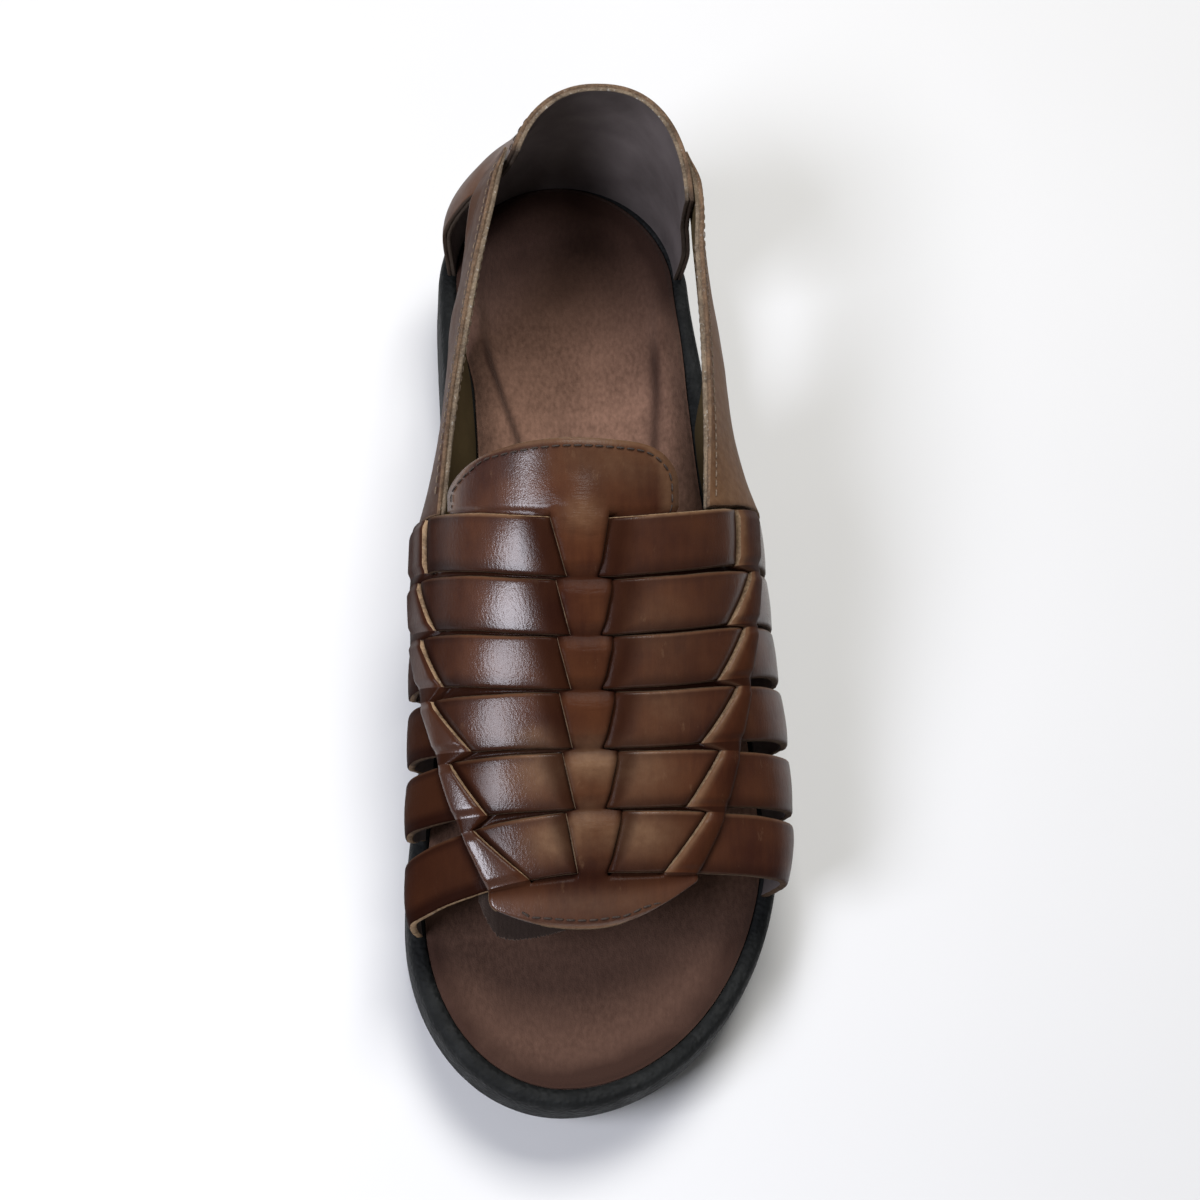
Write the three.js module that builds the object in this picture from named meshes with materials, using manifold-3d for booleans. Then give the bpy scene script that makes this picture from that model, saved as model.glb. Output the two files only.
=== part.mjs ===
// Fisherman sandal, left shoe: unit sole, insole, woven vamp with its tongue, sling bands and heel counter.
// Millimetres, z up. x runs to the outer side of the foot and the toe points along -y.
// fromHeel is the distance from the back of the sole, along its length.
import * as THREE from "three";
import { mergeVertices } from "three/addons/utils/BufferGeometryUtils.js";
import Module from "manifold-3d";

const wasm = await Module();
wasm.setup();

// Sole and insole
const LENGTH = 274; // heel back to toe tip
const SEAM_GAP = 0.3; // clearance between pieces that are sewn or glued
const HEEL_ROUND = 38; // length of the rounded heel end
const TOE_ROUND = { medial: 52, lateral: 74 }; // length of the rounded toe on each side
const HEEL_TIP_X = -2.5;
const TOE_TIP_X = -9;
const ROUND_POWER = { medial: 2.05, lateral: 1.93 };
const HALF_STATIONS = 38; // outline points on each side of the sole
const TOE_SPRING = 9; // height of the tread under the toe tip
const SPRING_START = 200;
const HEEL_BEVEL = 3;
const BEVEL_LENGTH = 14;
const ARCH_RISE = 3; // hollow under the waist
const ARCH_START = 84;
const ARCH_END = 150;
const RIM_WIDTH = 5; // rubber rim round the insole
const WAIST_RIM = { medial: 4, lateral: 1.2 }; // how much wider the rim is at the waist
const RECESS_DEPTH = 7; // seat of the insole
const GROOVE_WIDTH = 3;
const GROOVE_DEPTH = 2;
const GROOVES = [24, 38, 52, 66, 164, 178, 192, 208, 224, 240];
const INSOLE_PROUD = 1; // insole edge above the rim
const HEEL_CUP = 4;
const ARCH_COOKIE = 5; // medial rise of the footbed
const BALL_DISH = 1.5;

const SOLE_EDGES = [
  { fromHeel: 0, medial: -38.8, lateral: 33.0, rim: 30.5 },
  { fromHeel: 40, medial: -39.3, lateral: 34.2, rim: 30.3 },
  { fromHeel: 70, medial: -38.6, lateral: 37.5, rim: 28.4 },
  { fromHeel: 100, medial: -37.8, lateral: 39.8, rim: 25.6 },
  { fromHeel: 130, medial: -39.0, lateral: 43.2, rim: 22.8 },
  { fromHeel: 160, medial: -42.6, lateral: 46.6, rim: 20.4 },
  { fromHeel: 190, medial: -46.6, lateral: 49.2, rim: 19.2 },
  { fromHeel: 220, medial: -49.2, lateral: 50.2, rim: 19.6 },
  { fromHeel: 250, medial: -49.4, lateral: 50.2, rim: 22.2 },
  { fromHeel: 274, medial: -49.4, lateral: 50.2, rim: 25.6 },
];

// Loops of the sole from the tread edge up its side, over the rim and down into the recess.
const SOLE_LOOPS = [
  { inset: 2.2, fromGround: 0 },
  { inset: 0.6, fromGround: 1.6 },
  { inset: 0, fromGround: 4.5 },
  { inset: 0.2, belowRim: 4 },
  { inset: 0.8, belowRim: 1.2 },
  { inset: 2.2, belowRim: 0 },
  { inset: RIM_WIDTH, belowRim: 0, waisted: true },
  { inset: RIM_WIDTH, belowRim: RECESS_DEPTH, waisted: true },
];

// Loops of the insole inside its edge, over the footbed.
const FOOTBED_LOOPS = [RIM_WIDTH + SEAM_GAP + 0.7, 9, 13, 18, 24];

// Upper: the lining face of the last, with the crown line and the widest points of each section
const WIDEST_RISE = 15; // widest point above the rim
const STRAP_INSET = 2.4; // strap face inside the edge of the sole
const STRAP_THICKNESS = 2.2;
const STRAP_CROWN = 0.3; // rise of a strap along its middle
const STEP = 0.4; // run of a raised edge
const GROOVE_RUN = 0.2; // run of a strap's own edge
const SPINE_HALF_REAR = 6.8; // spine over a strap's rear edge and front edge
const SPINE_HALF_FRONT = 4.3;
const FRONT_RIM = 13; // plug ahead of the last strap
const FRONT_RIM_X = -4.5;
const FRONT_RIM_HALF = 29;
const PLUG_THICKNESS = 2.2;
const TONGUE_LENGTH = 18.4;
const TONGUE_CORNER = 7;
const TONGUE_X = -9;
const TONGUE_HALF = 27.5;
const TONGUE_SHARE = { medial: 0.24, lateral: 0.52 }; // its sides, between a row of slits and the spine

const LAST_SECTIONS = [
  { fromHeel: 100, crownX: -10, crownZ: 97.0, medial: -42.0, lateral: 43.0 },
  { fromHeel: 135, crownX: -7, crownZ: 84.5, medial: -44.4, lateral: 45.0 },
  { fromHeel: 160, crownX: -5.5, crownZ: 73.5, medial: -45.8, lateral: 46.4 },
  { fromHeel: 187, crownX: -5, crownZ: 61.5, medial: -46.4, lateral: 48.4 },
  { fromHeel: 205, crownX: -5, crownZ: 54.6, medial: -47.0, lateral: 48.2 },
  { fromHeel: 222, crownX: -5.4, crownZ: 49.0, medial: -47.0, lateral: 45.2 },
  { fromHeel: 242, crownX: -7, crownZ: 44.5, medial: -43.6, lateral: 39.0 },
];

// Straps from the instep to the toe: width, and fromHeel of the centre line at foot, widest point and crown.
const STRAPS = [
  { width: 14.2, medialFoot: 124, medialWide: 132, crown: 146.8, lateralWide: 130, lateralFoot: 124 },
  { width: 13.3, medialFoot: 141, medialWide: 148, crown: 160.3, lateralWide: 146, lateralFoot: 141 },
  { width: 12.7, medialFoot: 159, medialWide: 163.5, crown: 172.8, lateralWide: 160.5, lateralFoot: 157 },
  { width: 13.6, medialFoot: 178, medialWide: 181.5, crown: 185.7, lateralWide: 177, lateralFoot: 174.5 },
  { width: 13.8, medialFoot: 195.5, medialWide: 200, crown: 199.4, lateralWide: 195.3, lateralFoot: 193 },
  { width: 15, medialFoot: 221, medialWide: 222, crown: 213.8, lateralWide: 213, lateralFoot: 211.5 },
];

// Slits of each strap as girths at its rear and front edge, and the middle of the spine.
const SLITS = [
  { spineX: -6.2, medialRear: -0.74, medialFront: -0.72, lateralRear: 0.57, lateralFront: 0.55 },
  { spineX: -5.2, medialRear: -0.79, medialFront: -0.64, lateralRear: 0.63, lateralFront: 0.49 },
  { spineX: -5, medialRear: -0.74, medialFront: -0.59, lateralRear: 0.57, lateralFront: 0.43 },
  { spineX: -4.6, medialRear: -0.66, medialFront: -0.45, lateralRear: 0.51, lateralFront: 0.36 },
  { spineX: -4, medialRear: -0.55, medialFront: -0.38, lateralRear: 0.43, lateralFront: 0.31 },
  { spineX: -3.4, medialRear: -0.44, medialFront: -0.21, lateralRear: 0.38, lateralFront: 0.25 },
];

// Outer edge of the plug's side bands, as girths.
const PLUG_EDGES = [
  { fromHeel: 128, medial: -0.97, lateral: 0.72 },
  { fromHeel: 145, medial: -0.91, lateral: 0.69 },
  { fromHeel: 160, medial: -0.84, lateral: 0.64 },
  { fromHeel: 175, medial: -0.74, lateral: 0.57 },
  { fromHeel: 190, medial: -0.63, lateral: 0.51 },
  { fromHeel: 205, medial: -0.53, lateral: 0.45 },
  { fromHeel: 225, medial: -0.35, lateral: 0.34 },
];

// One side of the woven wall from the sole up to the spine, as heights of the outer face above the lining.
const WEAVE = [
  { zone: "outer", share: 1, onStrap: STRAP_THICKNESS, inGap: STRAP_THICKNESS },
  { zone: "outer", share: 0.86, onStrap: STRAP_THICKNESS, inGap: STRAP_THICKNESS },
  { zone: "outer", share: 0.71, onStrap: STRAP_THICKNESS, inGap: STRAP_THICKNESS },
  { zone: "outer", share: 0.56, onStrap: STRAP_THICKNESS, inGap: STRAP_THICKNESS },
  { zone: "outer", share: 0.42, onStrap: STRAP_THICKNESS, inGap: STRAP_THICKNESS },
  { zone: "outer", share: 0.28, onStrap: STRAP_THICKNESS, inGap: STRAP_THICKNESS },
  { zone: "outer", share: 0.14, onStrap: STRAP_THICKNESS, inGap: STRAP_THICKNESS },
  { zone: "bandFoot", onStrap: STRAP_THICKNESS, inGap: 1.6 },
  { zone: "bandOuter", onStrap: 4.2, inGap: 2.6 },
  { zone: "bandInner", onStrap: 4.3, inGap: 2.6 },
  { zone: "slitFoot", onStrap: 2.8, inGap: 1.8 },
  { zone: "field", share: 0.1, onStrap: 3.5, inGap: 1.8 },
  { zone: "field", share: TONGUE_SHARE.medial, onStrap: 3.9, inGap: 1.8 },
  { zone: "field", share: 0.38, onStrap: 4.1, inGap: 1.8 },
  { zone: "field", share: TONGUE_SHARE.lateral, onStrap: 4.1, inGap: 1.8 },
  { zone: "field", share: 0.68, onStrap: 4, inGap: 1.8 },
  { zone: "field", share: 0.86, onStrap: 3.6, inGap: 1.8 },
  { zone: "spineFoot", onStrap: 2.8, inGap: 1.8 },
  { zone: "spineEdge", onStrap: 4.3, inGap: 2.8 },
];
const SPINE_MIDDLE = { zone: "spineMiddle", onStrap: 4.6, inGap: 3.1 };

// Sling bands: lining face along the upper edge and along the lower edge, which meets the rim at the waist
const BAND_THICKNESS = 2.4;
const BAND_BULGE = { medial: 0.0017, lateral: 0.0023 }; // bulge of a band 1 mm high; grows with its square
const SKIVED = 0.35; // share of a band's thickness left at its rear end
const SKIVE_RUN = 0.09; // share of the band's run over which it gets its full thickness
const BAND_STATIONS = 30;
const BAND_ROWS = 6;
const BAND_FRONT = {
  medial: { top: -0.66, bottom: -2 },
  lateral: { top: 0.44, bottom: 2 },
};
const BANDS = {
  medial: {
    top: [
      { fromHeel: 27, x: -21.6, z: 79 },
      { fromHeel: 46, x: -25.7, z: 77 },
      { fromHeel: 64, x: -29.6, z: 75.6 },
      { fromHeel: 82, x: -32.7, z: 74.6 },
      { fromHeel: 102, x: -35.7, z: 73.5 },
    ],
    bottom: [
      { fromHeel: 27, x: -25.6, z: 67 },
      { fromHeel: 44, x: -29.9, z: 60.5 },
      { fromHeel: 52, x: -31.4, z: 53 },
      { fromHeel: 58, x: -32, z: 44.5 },
      { fromHeel: 62, x: -32.1, z: 36.5 },
      { fromHeel: 66, x: -31.4, z: 30.8 },
      { fromHeel: 70, x: -30.5, z: 28.4 },
      { fromHeel: 80, x: -29.7, z: 27.2 },
      { fromHeel: 94, x: -29.1, z: 26 },
      { fromHeel: 106, x: -30.6, z: 25 },
    ],
  },
  lateral: {
    top: [
      { fromHeel: 27, x: 26.4, z: 78.8 },
      { fromHeel: 46, x: 28.2, z: 77 },
      { fromHeel: 75, x: 28.4, z: 75 },
      { fromHeel: 102, x: 27.8, z: 74.5 },
    ],
    bottom: [
      { fromHeel: 27, x: 28.4, z: 67 },
      { fromHeel: 46, x: 30.4, z: 60.5 },
      { fromHeel: 60, x: 32.4, z: 52 },
      { fromHeel: 70, x: 34.2, z: 43.5 },
      { fromHeel: 76, x: 34.4, z: 36.5 },
      { fromHeel: 81, x: 33.6, z: 30.4 },
      { fromHeel: 86, x: 33.1, z: 26.9 },
      { fromHeel: 95, x: 33.5, z: 26 },
      { fromHeel: 106, x: 34.9, z: 25 },
    ],
  },
};

// Heel counter: its outer face, by height above the floor. Its plan is an ellipse where power is 2, and skew
// is how much further forward the lateral edge reaches than the middle of both.
const COUNTER_THICKNESS = 2.4;
const COLLAR_BACK = 88;
const COLLAR_SIDE = 79.5;
const COUNTER_AROUND = 28;
const COUNTER_UP = 9;
const MEDIAL_TRIM = 0.24; // share of the medial side cut away at the collar
const TRIM_START = 0.35; // share of the height where this cut starts
const COUNTER = [
  { height: 30, back: 2.5, front: 36, skew: 0, medial: -36.6, lateral: 31.8, power: 2 },
  { height: 44, back: 1.6, front: 35, skew: 3, medial: -38.4, lateral: 32, power: 2 },
  { height: 57, back: 3.2, front: 36.5, skew: 3.5, medial: -33.6, lateral: 30.4, power: 2.05 },
  { height: 64, back: 4.8, front: 38, skew: 3, medial: -28.6, lateral: 29.2, power: 2.1 },
  { height: 72, back: 7.2, front: 41, skew: 1, medial: -25.2, lateral: 28.6, power: 2.2 },
  { height: 80, back: 9.6, front: 43, skew: 0, medial: -22.6, lateral: 28.4, power: 2.3 },
  { height: 90, back: 12.2, front: 43, skew: 0, medial: -20.8, lateral: 28.4, power: 2.3 },
];

const SIDES = { medial: -1, lateral: 1 };

// Smooth curve through one column of a table, straight beyond its ends.
function curve(rows, column, key = "fromHeel") {
  const end = rows.length - 1;
  const chord = (i) => (rows[i + 1][column] - rows[i][column]) / (rows[i + 1][key] - rows[i][key]);
  const slope = rows.map((row, i) => {
    const before = chord(Math.max(i - 1, 0));
    const after = chord(Math.min(i, end - 1));
    return before * after <= 0 ? 0 : (2 * before * after) / (before + after);
  });
  return (at) => {
    if (at <= rows[0][key]) return rows[0][column] + slope[0] * (at - rows[0][key]);
    if (at >= rows[end][key]) return rows[end][column] + slope[end] * (at - rows[end][key]);
    const i = rows.findIndex((row) => at < row[key]) - 1;
    const span = rows[i + 1][key] - rows[i][key];
    const u = (at - rows[i][key]) / span;
    const ease = u * u * (3 - 2 * u);
    const bend = slope[i] * u * (1 - u) * (1 - u) - slope[i + 1] * u * u * (1 - u);
    return rows[i][column] * (1 - ease) + rows[i + 1][column] * ease + span * bend;
  };
}

function smooth(from, to, at) {
  const u = Math.min(Math.max((at - from) / (to - from), 0), 1);
  return u * u * (3 - 2 * u);
}

function place(x, fromHeel, z) {
  return new THREE.Vector3(x, LENGTH / 2 - fromHeel, z);
}

// Geometry from points and triangles, turned to face out.
function closedGeometry(points, triangles) {
  const volume = triangles.reduce((sum, [a, b, c]) => {
    return sum + points[a].dot(new THREE.Vector3().crossVectors(points[b], points[c]));
  }, 0);
  const faces = volume < 0 ? triangles.map(([a, b, c]) => [a, c, b]) : triangles;
  const geometry = new THREE.BufferGeometry().setFromPoints(points);
  geometry.setIndex(faces.flat());
  return geometry;
}

// Solid through loops of equal count, closed straight across at the first and the last.
function loftLoops(loops) {
  const count = loops[0].length;
  const triangles = [];
  for (let level = 0; level + 1 < loops.length; level += 1) {
    for (let k = 0; k < count; k += 1) {
      const a = level * count + k;
      const b = level * count + ((k + 1) % count);
      triangles.push([a, b, b + count], [a, b + count, a + count]);
    }
  }
  const top = (loops.length - 1) * count;
  for (let k = 0; k < count / 2; k += 1) {
    const across = count - k - 1;
    const partner = (count - k) % count;
    if (k + 1 < count / 2) {
      triangles.push([k + 1, k, across], [top + k, top + k + 1, top + across]);
    }
    if (k > 0) {
      triangles.push([across, k, partner], [top + k, top + across, top + partner]);
    }
  }
  return closedGeometry(loops.flat(), triangles);
}

// Closed wall between an outer and a lining grid of points. Cells that are not kept are open.
function wall(outer, lining, kept) {
  const rows = outer.length;
  const columns = outer[0].length;
  const at = (i, j) => i * columns + j;
  const under = rows * columns;
  const isKept = (i, j) => i >= 0 && j >= 0 && i + 1 < rows && j + 1 < columns && kept(i, j);
  const triangles = [];
  const quad = (a, b, c, d) => triangles.push([a, b, c], [a, c, d]);
  const side = (a, b) => quad(b, a, a + under, b + under);
  for (let i = 0; i + 1 < rows; i += 1) {
    for (let j = 0; j + 1 < columns; j += 1) {
      if (!isKept(i, j)) continue;
      const [a, b, c, d] = [at(i, j), at(i, j + 1), at(i + 1, j + 1), at(i + 1, j)];
      quad(a, b, c, d);
      quad(d + under, c + under, b + under, a + under);
      if (!isKept(i - 1, j)) side(a, b);
      if (!isKept(i, j + 1)) side(b, c);
      if (!isKept(i + 1, j)) side(c, d);
      if (!isKept(i, j - 1)) side(d, a);
    }
  }
  return closedGeometry([...outer.flat(), ...lining.flat()], triangles);
}

function solidOf(geometry) {
  const merged = mergeVertices(geometry, 1e-4);
  const vertProperties = new Float32Array(merged.attributes.position.array);
  const triVerts = new Uint32Array(merged.index.array);
  return new wasm.Manifold(new wasm.Mesh({ numProp: 3, vertProperties, triVerts }));
}

function geometryOf(solid) {
  const mesh = solid.getMesh();
  const geometry = new THREE.BufferGeometry();
  geometry.setAttribute("position", new THREE.BufferAttribute(new Float32Array(mesh.vertProperties), 3));
  geometry.setIndex(new THREE.BufferAttribute(new Uint32Array(mesh.triVerts), 1));
  return geometry;
}

const edgeCurve = { medial: curve(SOLE_EDGES, "medial"), lateral: curve(SOLE_EDGES, "lateral") };
const rimHeight = curve(SOLE_EDGES, "rim");

function rounded(share, power) {
  return (1 - (1 - Math.min(share, 1)) ** power) ** (1 / power);
}

function soleEdge(side, fromHeel) {
  const atHeel = fromHeel < LENGTH / 2;
  const tip = atHeel ? HEEL_TIP_X : TOE_TIP_X;
  const share = atHeel ? fromHeel / HEEL_ROUND : (LENGTH - fromHeel) / TOE_ROUND[side];
  return tip + (edgeCurve[side](fromHeel) - tip) * rounded(share, ROUND_POWER[side]);
}

function waist(fromHeel) {
  return smooth(50, 76, fromHeel) * (1 - smooth(104, 134, fromHeel));
}

// Outline of the sole moved in by a distance, further at a waisted rim: heel, lateral side, toe, medial side.
function outline(inset, waisted = false) {
  const stations = Array.from({ length: HALF_STATIONS + 1 }, (_, j) => {
    return (LENGTH / 2) * (1 - Math.cos((Math.PI * j) / HALF_STATIONS));
  });
  const lateral = stations.map((s) => new THREE.Vector2(soleEdge("lateral", s), s));
  const medial = stations.slice(1, -1).reverse().map((s) => new THREE.Vector2(soleEdge("medial", s), s));
  const loop = [...lateral, ...medial];
  return loop.map((point, k) => {
    const before = loop[(k + loop.length - 1) % loop.length];
    const after = loop[(k + 1) % loop.length];
    const along = new THREE.Vector2().subVectors(after, before).normalize();
    const side = k <= HALF_STATIONS ? "lateral" : "medial";
    const depth = inset + (waisted ? WAIST_RIM[side] * waist(point.y) : 0);
    return new THREE.Vector2(point.x - along.y * depth, point.y + along.x * depth);
  });
}

function groundHeight(fromHeel) {
  const spring = Math.max((fromHeel - SPRING_START) / (LENGTH - SPRING_START), 0);
  const bevel = Math.max((BEVEL_LENGTH - fromHeel) / BEVEL_LENGTH, 0);
  const waist = Math.min(Math.max((fromHeel - ARCH_START) / (ARCH_END - ARCH_START), 0), 1);
  return TOE_SPRING * spring ** 2 + HEEL_BEVEL * bevel ** 2 + ARCH_RISE * Math.sin(Math.PI * waist) ** 2;
}

function buildSole() {
  const loops = SOLE_LOOPS.map(({ inset, fromGround, belowRim, waisted }) => {
    return outline(inset, waisted).map(({ x, y: s }) => {
      const z = belowRim === undefined ? groundHeight(s) + fromGround : rimHeight(s) - belowRim;
      return place(x, s, z);
    });
  });
  const height = 20;
  const cuts = GROOVES.map((s) => {
    const bar = new THREE.BoxGeometry(LENGTH / 2, GROOVE_WIDTH, height);
    const top = groundHeight(s) + GROOVE_DEPTH;
    bar.deleteAttribute("normal");
    bar.deleteAttribute("uv");
    bar.translate(0, LENGTH / 2 - s, top - height / 2);
    return solidOf(bar);
  });
  return geometryOf(cuts.reduce((sole, cut) => sole.subtract(cut), solidOf(loftLoops(loops))));
}

// Top of the insole: heel cup, arch rise on the medial side and a dish under the ball.
function footbedHeight(x, fromHeel, inset) {
  const bowl = smooth(RIM_WIDTH, 22, inset);
  const heel = HEEL_CUP * (1 - smooth(60, 115, fromHeel));
  const ball = BALL_DISH * smooth(150, 190, fromHeel);
  const arch = ARCH_COOKIE * smooth(70, 115, fromHeel) * (1 - smooth(125, 175, fromHeel));
  const medialShare = 1 - smooth(8, 42, x - soleEdge("medial", fromHeel));
  return rimHeight(fromHeel) + INSOLE_PROUD - (heel + ball) * bowl + arch * medialShare;
}

function buildInsole() {
  const edge = outline(RIM_WIDTH + SEAM_GAP, true);
  const seat = edge.map(({ x, y: s }) => place(x, s, rimHeight(s) - RECESS_DEPTH + SEAM_GAP));
  const lip = edge.map(({ x, y: s }) => place(x, s, rimHeight(s) + INSOLE_PROUD / 2));
  const top = FOOTBED_LOOPS.map((inset) => {
    return outline(inset, true).map(({ x, y: s }) => place(x, s, footbedHeight(x, s, inset)));
  });
  return loftLoops([seat, lip, ...top]);
}

const last = {
  crownX: curve(LAST_SECTIONS, "crownX"),
  crownZ: curve(LAST_SECTIONS, "crownZ"),
  medial: curve(LAST_SECTIONS, "medial"),
  lateral: curve(LAST_SECTIONS, "lateral"),
};

// Point of the lining face: girth is 0 at the crown, 1 at the widest point, 2 at the sole, less medially.
function lastPoint(fromHeel, girth) {
  const side = girth < 0 ? "medial" : "lateral";
  const base = rimHeight(fromHeel) + SEAM_GAP;
  const wideX = last[side](fromHeel);
  const wideZ = base + WIDEST_RISE;
  const way = (Math.abs(girth) * Math.PI) / 2;
  if (Math.abs(girth) <= 1) {
    const crownX = last.crownX(fromHeel);
    const crownZ = last.crownZ(fromHeel);
    const x = crownX + (wideX - crownX) * Math.sin(way);
    return place(x, fromHeel, wideZ + (crownZ - wideZ) * Math.cos(way));
  }
  const footX = soleEdge(side, fromHeel) - SIDES[side] * (STRAP_INSET + STRAP_THICKNESS);
  const x = footX + (wideX - footX) * Math.sin(way);
  return place(x, fromHeel, base + (2 - Math.abs(girth)) * WIDEST_RISE);
}

function girthAt(fromHeel, x) {
  const crownX = last.crownX(fromHeel);
  const side = x < crownX ? "medial" : "lateral";
  const share = (x - crownX) / (last[side](fromHeel) - crownX);
  return (SIDES[side] * Math.asin(Math.min(share, 1)) * 2) / Math.PI;
}

function girthStep(fromHeel, girth, distance) {
  const reach = 0.01;
  const run = lastPoint(fromHeel, girth + reach).distanceTo(lastPoint(fromHeel, girth - reach));
  return girth + (distance * 2 * reach) / run;
}

// Point at a height above the lining face, square to it. Straps stand upright on the sole.
function raised(fromHeel, girth, height) {
  const reach = 0.02;
  const point = lastPoint(fromHeel, girth);
  const around = lastPoint(fromHeel, girth + reach).sub(lastPoint(fromHeel, girth - reach));
  const along = lastPoint(fromHeel + 1, girth).sub(lastPoint(fromHeel - 1, girth));
  const normal = new THREE.Vector3().crossVectors(along, around).normalize();
  if (Math.abs(girth) > 1.99) normal.setZ(0).normalize();
  return point.addScaledVector(normal, height);
}

const centreLines = STRAPS.map((strap) => {
  const rows = ["medialFoot", "medialWide", "crown", "lateralWide", "lateralFoot"].map((name, i) => {
    return { girth: i - 2, station: strap[name] };
  });
  return curve(rows, "station", "girth");
});

// Station of a line along a strap: across is -1 at its rear edge and 1 at its front edge.
function strapStation(strap, across, girth) {
  const reach = 0.02;
  const centre = centreLines[strap](girth);
  const ahead = lastPoint(centreLines[strap](girth + reach), girth + reach);
  const behind = lastPoint(centreLines[strap](girth - reach), girth - reach);
  const direction = ahead.sub(behind).normalize();
  const along = lastPoint(centre + 1, girth).sub(lastPoint(centre - 1, girth)).multiplyScalar(0.5);
  return centre + (across * STRAPS[strap].width) / 2 / along.cross(direction).length();
}

const plugEdge = { medial: curve(PLUG_EDGES, "medial"), lateral: curve(PLUG_EDGES, "lateral") };

// Girth of each column of the woven wall on one side, along one line of a strap.
function sideGirths(strap, across, side) {
  const sign = SIDES[side];
  const share = (Math.min(Math.max(across, -1), 1) + 1) / 2;
  const { crown } = STRAPS[strap];
  const slits = SLITS[strap];
  const slit = slits[side + "Rear"] * (1 - share) + slits[side + "Front"] * share;
  const spineX = slits.spineX + sign * (SPINE_HALF_REAR * (1 - share) + SPINE_HALF_FRONT * share);
  const spine = girthAt(crown, spineX);
  const band = plugEdge[side](strapStation(strap, across, slit));
  const slitFoot = girthStep(crown, slit, -sign * STEP);
  const spineFoot = girthStep(crown, spine, sign * STEP);
  const positions = {
    outer: (way) => band + (2 * sign - band) * way,
    bandFoot: () => band,
    bandOuter: () => girthStep(crown, band, -sign * STEP),
    bandInner: () => slit,
    slitFoot: () => slitFoot,
    field: (way) => slitFoot + (spineFoot - slitFoot) * way,
    spineFoot: () => spineFoot,
    spineEdge: () => spine,
  };
  return WEAVE.map((column) => positions[column.zone](column.share));
}

const WEAVE_COLUMNS = [...WEAVE, SPINE_MIDDLE, ...[...WEAVE].reverse()];
const FIRST_BAND = WEAVE.findIndex((column) => column.zone === "bandFoot");
const LAST_BAND = WEAVE_COLUMNS.length - 1 - FIRST_BAND;
const FIRST_TONGUE = WEAVE.findIndex((column) => column.share === TONGUE_SHARE.medial);
const LAST_TONGUE = WEAVE_COLUMNS.findLastIndex((column) => column.share === TONGUE_SHARE.lateral);

function rowGirths(strap, across) {
  const medial = sideGirths(strap, across, "medial");
  const lateral = sideGirths(strap, across, "lateral");
  return [...medial, girthAt(STRAPS[strap].crown, SLITS[strap].spineX), ...lateral.reverse()];
}

function strapRows(strap) {
  const edge = 1 + (2 * GROOVE_RUN) / STRAPS[strap].width;
  return [-edge, -1, 0, 1, edge].map((across) => {
    const kind = Math.abs(across) > 1 ? "gap" : "strap";
    const girths = rowGirths(strap, across);
    const stations = girths.map((girth) => strapStation(strap, across, girth));
    const crown = across === 0 ? STRAP_CROWN : 0;
    const heights = WEAVE_COLUMNS.map((column) => (kind === "gap" ? column.inGap : column.onStrap + crown));
    return { kind, girths, stations, heights };
  });
}

function tongueRows(base) {
  const root = base.stations[WEAVE.length];
  return [1, 0.96, 0.87, 0.72, 0.5, 0.25].map((share) => {
    const rounding = Math.max(share * TONGUE_LENGTH + TONGUE_CORNER - TONGUE_LENGTH, 0) / TONGUE_CORNER;
    const narrowing = (TONGUE_CORNER * (1 - Math.sqrt(1 - rounding ** 2))) / TONGUE_HALF;
    const stations = base.stations.map((station) => {
      return root - share * TONGUE_LENGTH + (station - root) * (1 - share);
    });
    const girths = base.girths.map((girth, j) => {
      const x = lastPoint(base.stations[j], girth).x;
      return girthAt(stations[j], TONGUE_X + (x - TONGUE_X) * (1 - narrowing));
    });
    return { kind: "tongue", girths, stations, heights: base.heights };
  });
}

function rimRows(base) {
  return [0.3, 0.6, 0.86, 1].map((share) => {
    const stations = base.stations.map((station, j) => {
      const away = (lastPoint(station, base.girths[j]).x - FRONT_RIM_X) / FRONT_RIM_HALF;
      return station + share * FRONT_RIM * Math.max(1 - away ** 2, 0.05) ** 0.75;
    });
    const heights = base.heights.map(() => (share === 1 ? PLUG_THICKNESS - 0.4 : PLUG_THICKNESS + 0.4));
    return { kind: "rim", girths: base.girths, stations, heights };
  });
}

// Rows of the woven wall from the tongue to the front rim: a station, a girth and a height per column.
function weaveRows() {
  const rows = STRAPS.flatMap((_, strap) => strapRows(strap));
  rows[0].heights = rows[0].heights.map(() => PLUG_THICKNESS);
  return [...tongueRows(rows[0]), ...rows, ...rimRows(rows[rows.length - 1])];
}

const WEAVE_ROWS = weaveRows();

function buildUpper() {
  const outer = WEAVE_ROWS.map(({ stations, girths, heights }) => {
    return stations.map((station, j) => raised(station, girths[j], heights[j]));
  });
  const lining = WEAVE_ROWS.map(({ stations, girths }) => {
    return stations.map((station, j) => lastPoint(station, girths[j]));
  });
  const firstStrapRow = WEAVE_ROWS.findIndex((row) => row.kind === "strap");
  return wall(outer, lining, (i, j) => {
    if (i < firstStrapRow) return j >= FIRST_TONGUE && j < LAST_TONGUE;
    if (WEAVE_ROWS[i].kind === "strap" && WEAVE_ROWS[i + 1].kind === "strap") return true;
    return j >= FIRST_BAND && j < LAST_BAND;
  });
}

const counter = {
  back: curve(COUNTER, "back", "height"),
  front: curve(COUNTER, "front", "height"),
  medial: curve(COUNTER, "medial", "height"),
  lateral: curve(COUNTER, "lateral", "height"),
  power: curve(COUNTER, "power", "height"),
  skew: curve(COUNTER, "skew", "height"),
};

function counterFront(turn, height) {
  return counter.front(height) + turn * counter.skew(height);
}

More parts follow.
